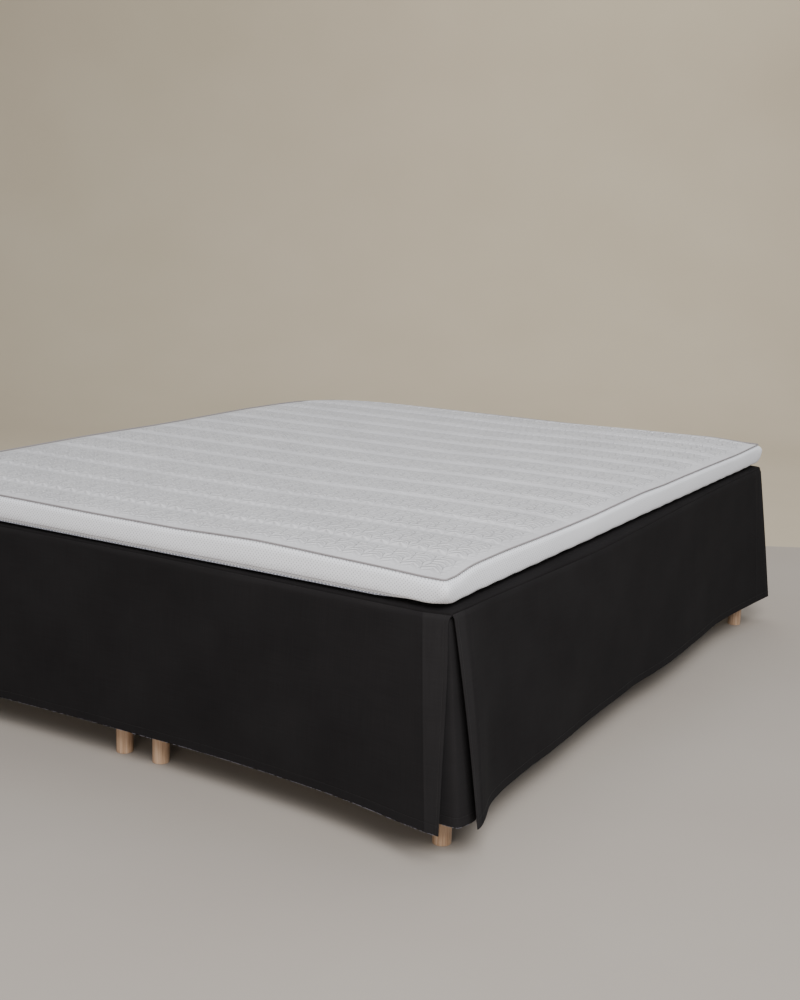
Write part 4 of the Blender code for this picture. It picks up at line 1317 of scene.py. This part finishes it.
def on_ring(ring, x, y):
    """Grid points moved onto a ring's rectangle with round corners."""
    half_x, half_y = HALF_X - ring["inset"], HALF_Y - ring["inset"]
    x, y = x * half_x / HALF_X, y * half_y / HALF_Y
    radius = corner_radius(x, y, max(ring["corner"], 0.001))
    to_corner = (half_x - np.abs(x)) + (half_y - np.abs(y))
    swell = max(ring["swell"], 0.0) * np.exp(-to_corner / SWELL_REACH)
    over_x = np.abs(x) - (half_x - radius)
    over_y = np.abs(y) - (half_y - radius)
    in_corner = (over_x > 0.0) & (over_y > 0.0)
    reach = np.maximum(np.hypot(over_x, over_y), 1e-9)
    pull = np.where(in_corner, np.maximum(over_x, over_y) / reach, 1.0)
    x_out = np.where(in_corner, half_x - radius + over_x * pull, np.abs(x)) + swell
    y_out = np.where(in_corner, half_y - radius + over_y * pull, np.abs(y)) + swell
    return np.copysign(x_out, x), np.copysign(y_out, y)


def sag_at(x, y):
    """How far the border sags over the lower piping at a place on the rim, from 0 to 1."""
    from_foot = np.clip((y + HALF_Y - SAG_FROM_FOOT) * SAG_GROWTH, 0.0, 1.0)
    near_corner = np.clip((x - SAG_START[0]) / (SAG_START[1] - SAG_START[0]), 0.0, 1.0)
    return np.maximum(from_foot, near_corner)


def border_wrinkle(run, height, x, y):
    """How far the border's mesh fabric stands out: slight folds at corners, soft waves."""
    from_corner = (HALF_X - np.abs(x)) + (HALF_Y - np.abs(y))
    fold = FOLD_HEIGHT * uneven_wave(run, *FOLDS, lean=height * FOLD_LEAN)
    fold = fold * np.exp(-from_corner / FOLD_REACH)
    wave = sum(np.sin(2.0 * math.pi * run / length + 2.0 * k)
               for k, length in enumerate(BORDER_WAVES))
    amount = np.sin(math.pi * np.clip(height / TOPPER_EDGE, 0.0, 1.0))
    return amount * (fold + BORDER_WAVE_HEIGHT * wave)


def topper_grid():
    """x and y of the top's grid lines, before its corners are rounded."""
    columns = grid_lines(TOPPER_WIDTH, RIM_LINES, RIM_LINES) - HALF_X
    shift = QUILT_FIRST - RIDE_FIRST + HALF_Y
    beside = [place + off + shift for place in RIDE_PLACES for off in CHANNEL_LINES]
    beside = [place for place in beside if place < TOPPER_LENGTH - RIM_LINES[-1]]
    rows = grid_lines(TOPPER_LENGTH, RIM_LINES, RIM_LINES, beside) - HALF_Y
    return np.meshgrid(columns, rows, indexing="ij")


def outer_loop(across, down):
    """Indices of a grid's outermost points, once round, anticlockwise."""
    loop = [(i, 0) for i in range(across - 1)] + [(across - 1, j) for j in range(down - 1)]
    loop += [(i, down - 1) for i in range(across - 1, 0, -1)]
    loop += [(0, j) for j in range(down - 1, 0, -1)]
    return tuple(np.array(loop).T)


def quilted_top(grid_x, grid_y, x, y):
    """The top's points, and what each stores for the material: leaves shown and puff."""
    puff, crest = scale_pattern(x, y)
    inside = np.minimum(HALF_X - np.abs(grid_x), HALF_Y - np.abs(grid_y))
    patterned = np.clip((inside - QUILT_EDGE[0]) / QUILT_EDGE[1], 0.0, 1.0)
    valley = channel_valley(grid_x, grid_y)
    shallow = 1.0 - valley / CHANNEL_DEPTH
    rise = top_rise(grid_x, grid_y) - valley + (puff - 0.5) * SCALE_HEIGHT * patterned * shallow
    top = np.stack((x, y, UNDERSIDE + TOPPER_EDGE + rise), axis=-1)
    return top, np.stack((leaves_shown(y, crest, patterned), puff, np.zeros_like(x)), axis=-1)


def border_rings(loop_x, loop_y, run):
    """Points and heights of the border's rings, from the top's edge to the underside."""
    lift = rim_lift(loop_x, loop_y)[0]
    sag = sag_at(loop_x, loop_y)
    rings = []
    profiles = [ring_profile(table, BORDER_STEPS) for table in (BORDER_RINGS, SAGGING_RINGS)]
    for number, (ring, sagged) in enumerate(zip(*profiles)):
        x, y = on_ring(ring, loop_x, loop_y)
        sagged_x, sagged_y = on_ring(sagged, loop_x, loop_y)
        x, y = x + (sagged_x - x) * sag, y + (sagged_y - y) * sag
        height = ring["height"] + (sagged["height"] - ring["height"]) * sag
        if 0 < number < BORDER_STEPS:
            ahead_x, ahead_y = (np.roll(place, -1) - np.roll(place, 1) for place in (x, y))
            long = np.maximum(np.hypot(ahead_x, ahead_y), 1e-9)
            out = border_wrinkle(run, height, loop_x, loop_y)
            x, y = x + out * ahead_y / long, y - out * ahead_x / long
        low = np.exp(-((height - LOW_EDGE[0]) / LOW_EDGE[1]) ** 2)
        level = UNDERSIDE + height + lift * height / TOPPER_EDGE
        level = level + low * WAVER_HEIGHT * uneven_wave(run, *WAVERS)
        rings.append((np.stack((x, y, level), axis=1), height))
    return rings


def make_topper():
    """Quilted top, mesh border and flat underside."""
    grid_x, grid_y = topper_grid()
    rounded = on_ring(ring_profile(BORDER_RINGS, BORDER_STEPS)[0], grid_x, grid_y)
    top, quilt = quilted_top(grid_x, grid_y, *rounded)
    loop = outer_loop(*grid_x.shape)
    loop_x, loop_y = grid_x[loop], grid_y[loop]
    steps = np.hypot(np.diff(loop_x, append=loop_x[0]), np.diff(loop_y, append=loop_y[0]))
    run = np.concatenate(([0.0], np.cumsum(steps)[:-1]))
    rings = border_rings(loop_x, loop_y, run)
    rings[0][0][:, 2] = top[loop][:, 2]
    points = [top.reshape(-1, 3)] + [ring for ring, height in rings]
    cloth = [(top * (1.0, 1.0, 0.0)).reshape(-1, 3)]
    cloth += [np.stack((run, height, np.zeros_like(run)), axis=1) for ring, height in rings]
    count, start = len(run), top[..., 0].size
    faces = [face[::-1] for face in grid_faces(*grid_x.shape)]
    top_faces = len(faces)
    faces += [(a, d, c, b) for a, b, c, d in ring_faces(count, len(rings), start)]
    last = start + (len(rings) - 1) * count
    faces.append(tuple(last + i for i in range(count - 1, -1, -1)))
    made = mesh_piece("quilted_topper", np.concatenate(points), faces, [KNIT, SPACER])
    made.data.polygons.foreach_set(
        "material_index", [0] * top_faces + [1] * (len(faces) - top_faces))
    store(made, "cloth", np.concatenate(cloth))
    store(made, "quilt", np.concatenate((quilt.reshape(-1, 3), np.zeros((count * len(rings), 3)))))
    give_to_kit(made, "topper")
    return made


topper = make_topper()
print(topper.name, len(topper.data.polygons), "faces")

# %% [markdown]
# ## Pipings
#
# Two pipings run all round the topper: one where the top meets the border, and a thicker one
# at the border's foot. Above that one runs the seam's dark line, drawn as a thin grey cord that
# is painted shadow. A curve with a round bevel would be the usual way. A swept mesh is used
# instead, because it can store how far along the cord each point is, and the woven sleeve's
# pattern then runs evenly round the corners.

# %% Make the pipings
PIPING_COLUMNS = ("inset", "height", "radius", "corner")
TOP_PIPING = (0.0084, 0.0616, 0.0018, 0.009)
LOW_PIPING = (0.0088, 0.0050, 0.0020, 0.042)
# Painted shadow: a thin grey cord along the seam's dark line above the lower piping.
SEAM_SHADOW_CORD = (0.0022, 0.0135, 0.0005, 0.034)
UNDER_SAG = 0.0070          # the lower piping is raised this much where the border hides it
CORNERS = ((-1, 1, -1), (0, 1, 1), (1, -1, 1), (2, -1, -1))     # quarter turns, side signs
CORNER_STEPS = 12
PIPING_STEP = 0.003
PIPING_SIDES = 10


def rim_path(inset, corner):
    """Evenly spaced points on a rectangle with round corners, anticlockwise."""
    half_x, half_y = HALF_X - inset, HALF_Y - inset
    outline = []
    for quarter, side_x, side_y in CORNERS:
        radius = float(corner_radius(side_x, side_y, corner))
        for angle in (quarter + np.linspace(0.0, 1.0, CORNER_STEPS + 1)) * math.pi / 2.0:
            outline.append((side_x * (half_x - radius) + radius * math.cos(angle),
                            side_y * (half_y - radius) + radius * math.sin(angle)))
    outline = np.array(outline + outline[:1])
    run = np.concatenate(([0.0], np.cumsum(np.hypot(*np.diff(outline, axis=0).T))))
    spots = np.linspace(0.0, run[-1], int(run[-1] / PIPING_STEP), endpoint=False)
    return np.interp(spots, run, outline[:, 0]), np.interp(spots, run, outline[:, 1]), spots


def make_piping(name, sizes, material, node=None, raised=0.0):
    """A cord in its sleeve round the topper's border, in the place of a solid if it has one."""
    size = dict(zip(PIPING_COLUMNS, sizes))
    x, y, run = rim_path(size["inset"], size["corner"])
    lift = rim_lift(x, y)[0]
    z = UNDERSIDE + size["height"] + lift * size["height"] / TOPPER_EDGE
    z = z + raised * sag_at(x, y)
    ahead = np.stack([np.roll(place, -1) - np.roll(place, 1) for place in (x, y)], axis=1)
    ahead /= np.linalg.norm(ahead, axis=1, keepdims=True)
    rings = []
    for side in range(PIPING_SIDES):
        angle = 2.0 * math.pi * side / PIPING_SIDES
        out, up = size["radius"] * math.cos(angle), size["radius"] * math.sin(angle)
        rings.append(np.stack((x + ahead[:, 1] * out, y - ahead[:, 0] * out, z + up), axis=1))
    points = np.stack(rings, axis=1).reshape(-1, 3)
    # The last ring's faces lead back to the first ring.
    faces = [tuple(corner % len(points) for corner in (a, d, c, b))
             for a, b, c, d in ring_faces(PIPING_SIDES, len(x) + 1)]
    made = mesh_piece(name, points, faces, [material])
    girth = np.arange(PIPING_SIDES) * 2.0 * math.pi * size["radius"] / PIPING_SIDES
    along, girth = np.meshgrid(run, girth, indexing="ij")
    store(made, "cloth", np.stack((along, girth, np.zeros_like(along)), axis=-1))
    give_to_kit(made, node)
    return made


# The third cord is painted shadow: the seam above the lower piping drawn as its dark line.
pipings = [make_piping("sewn_piping_top", TOP_PIPING, PIPING, "piping_top"),
           make_piping("sewn_piping_low", LOW_PIPING, CORDING, "piping_low", UNDER_SAG),
           make_piping("border_seam_thread", SEAM_SHADOW_CORD, PIPING)]
print("pipings:", [len(made.data.polygons) for made in pipings], "faces")

# %% [markdown]
# ## Oak legs
#
# The legs are turned from oak and oiled. They taper a little and have a small rounded edge at
# the foot. Only their lower ends show under the hem. Each is a profile swept round its axis.
# Oak is ring-porous, so its grain is long dark pores and soft bands that run up the leg. Oil
# leaves it warm and nearly matt.

# %% Make the legs
LEG_SIDES = 48
LEG_RINGS = 10              # along the shaft
ROUND_STEPS = 5             # round its foot's edge
BASE_BOTTOM = 0.170         # leg length
LEG_TOP_DIAMETER = 0.0400
LEG_FOOT_DIAMETER = 0.0390
LEG_ROUND = 0.0016          # radius of its foot's edge
LEG_SHARP = math.radians(50.0)
LEG_TOP_GAP = 0.0003
PORE = (0.0011, 0.0011, 1.0 / 22.0)     # a pore is 0.3 mm wide, drawn wider so that it shows
GROWTH_BAND = (1.0 / 150.0, 1.0 / 60.0, 0.2)    # its size across the leg and along it


def oiled_oak():
    """Oiled oak: warm light brown, with dark pore lines and soft growth bands."""
    material, tree = new_material("oiled_oak", 0.55, Specular_IOR_Level=0.4)
    place = add_node(tree, "TexCoord").outputs["Object"]
    own = add_node(tree, "ObjectInfo").outputs["Location"]
    shifted = add_node(tree, "VectorMath", {0: place, 1: own}, operation="ADD")
    pores = drawn_out_noise(tree, shifted, [1.0 / size for size in PORE], 3.0)
    bands = drawn_out_noise(tree, shifted, [1.0 / size for size in GROWTH_BAND])
    both = add_node(tree, "Math", {0: pores, 1: bands}, operation="ADD")
    half = add_node(tree, "Math", {0: both, 1: 0.5}, operation="MULTIPLY")
    return finished(material, half,
                    ((0.34, "#8d6f54"), (0.66, "#ccb299"), (0.44, "#ac8c70"), (0.55, "#bea085")),
                    pores, Strength=0.25, Distance=0.0004)


def leg_mesh(material):
    """A turned leg about its own axis, its foot on z = 0."""
    top = BASE_BOTTOM - LEG_TOP_GAP
    foot, head = LEG_FOOT_DIAMETER / 2.0, LEG_TOP_DIAMETER / 2.0
    rings = []
    for angle in np.linspace(-math.pi / 2.0, 0.0, ROUND_STEPS + 1):
        rings.append((foot - LEG_ROUND + LEG_ROUND * math.cos(angle),
                      LEG_ROUND + LEG_ROUND * math.sin(angle)))
    for share in np.linspace(1.0 / LEG_RINGS, 1.0, LEG_RINGS):
        rings.append((foot + (head - foot) * share, LEG_ROUND + (top - LEG_ROUND) * share))
    points = [(0.0, 0.0, 0.0)]
    for radius, height in rings:
        for side in range(LEG_SIDES):
            angle = 2.0 * math.pi * side / LEG_SIDES
            points.append((radius * math.cos(angle), radius * math.sin(angle), height))
    points.append((0.0, 0.0, top))
    faces = ring_faces(LEG_SIDES, len(rings), 1)
    upper = len(points) - 1 - LEG_SIDES
    for side in range(LEG_SIDES):
        after = (side + 1) % LEG_SIDES
        faces += [(0, 1 + after, 1 + side), (upper + side, upper + after, len(points) - 1)]
    mesh = bpy.data.meshes.new("turned_leg")
    mesh.from_pydata(points, [], faces)
    mesh.shade_smooth()
    mesh.set_sharp_from_angle(angle=LEG_SHARP)
    mesh.materials.append(material)
    return mesh


OAK = oiled_oak()
leg_form = leg_mesh(OAK)
legs = []
for end in ("foot", "head"):
    for column in ("left", "mid_left", "mid_right", "right"):
        low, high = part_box(f"leg_{end}_{column}")
        leg = place_mesh(f"turned_leg_{end}_{column}", leg_form)
        leg.location = ((low.x + high.x) / 2.0, (low.y + high.y) / 2.0, 0.0)
        give_to_kit(leg, f"leg_{end}_{column}")
        legs.append(leg)
print("legs:", len(legs), "of", len(leg_form.vertices), "points each")

# %% [markdown]
# ## The bases' ticking
#
# The two box bases are upholstered in a strong pale ticking. Nothing of them shows from above
# the hem, but they can be seen from below. Their solids already have the right rounded form,
# so a box of the same size with a finer bevel stands for each, with the ticking's slanting
# ribs. Bevel weights on its edges give the full rounding above and a small one below.

# %% Make the bases
BASE_ROUNDING = 0.026       # radius of a base's upper edges and corners
BASE_FOOT_ROUNDING = 0.08   # share of it along the lower edges
ROUNDING_STEPS = 8
TICK_PITCH = 0.0050         # real ribs are 2 mm wide, drawn coarser so that they show
FUZZ = 90.0                 # tufts of the ticking's fibre to the metre


def pale_cotton_ticking():
    """Unbleached cotton ticking with slanting ribs: warm off-white and matt."""
    material, tree = new_material("pale_cotton_ticking", 0.9, Specular_IOR_Level=0.25)
    place = add_node(tree, "TexCoord").outputs["Object"]
    ribs = add_node(tree, "TexWave",
                    {"Vector": place, "Scale": math.pi / (5.0 * TICK_PITCH), "Distortion": 0.0},
                    bands_direction="DIAGONAL").outputs["Fac"]
    fuzz = add_node(tree, "TexNoise", {"Vector": place, "Scale": FUZZ, "Detail": 3.0})
    tone = add_node(tree, "Math", {0: ribs, 1: fuzz}, operation="MULTIPLY")
    return finished(material, tone, ((0.0, "#b7b09f"), (0.6, "#cfc9bb")),
                    ribs, Strength=0.3, Distance=0.0004)


TICKING = pale_cotton_ticking()


def make_base(side):
    """One upholstered box base in the place of its solid."""
    low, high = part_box(f"base_{side}")
    size, middle = high - low, (high + low) / 2.0
    corners = np.array([(sx, sy, sz) for sz in (-1, 1) for sy in (-1, 1) for sx in (-1, 1)])
    corners = corners * size / 2.0
    faces = [(0, 2, 3, 1), (4, 5, 7, 6), (0, 1, 5, 4), (1, 3, 7, 5), (3, 2, 6, 7), (2, 0, 4, 6)]
    made = mesh_piece(f"upholstered_base_{side}", corners, faces, [TICKING])
    made.location = middle
    weights = made.data.attributes.new("bevel_weight_edge", "FLOAT", "EDGE")
    for edge in made.data.edges:
        lower = all(made.data.vertices[v].co.z < 0.0 for v in edge.vertices)
        weights.data[edge.index].value = BASE_FOOT_ROUNDING if lower else 1.0
    bevel = made.modifiers.new("rounding", "BEVEL")
    bevel.limit_method = "WEIGHT"
    bevel.width = BASE_ROUNDING
    bevel.segments = ROUNDING_STEPS
    bevel.harden_normals = True
    give_to_kit(made, f"base_{side}")
    return made


bases = [make_base("left"), make_base("right")]
print("bases:", [made.name for made in bases])
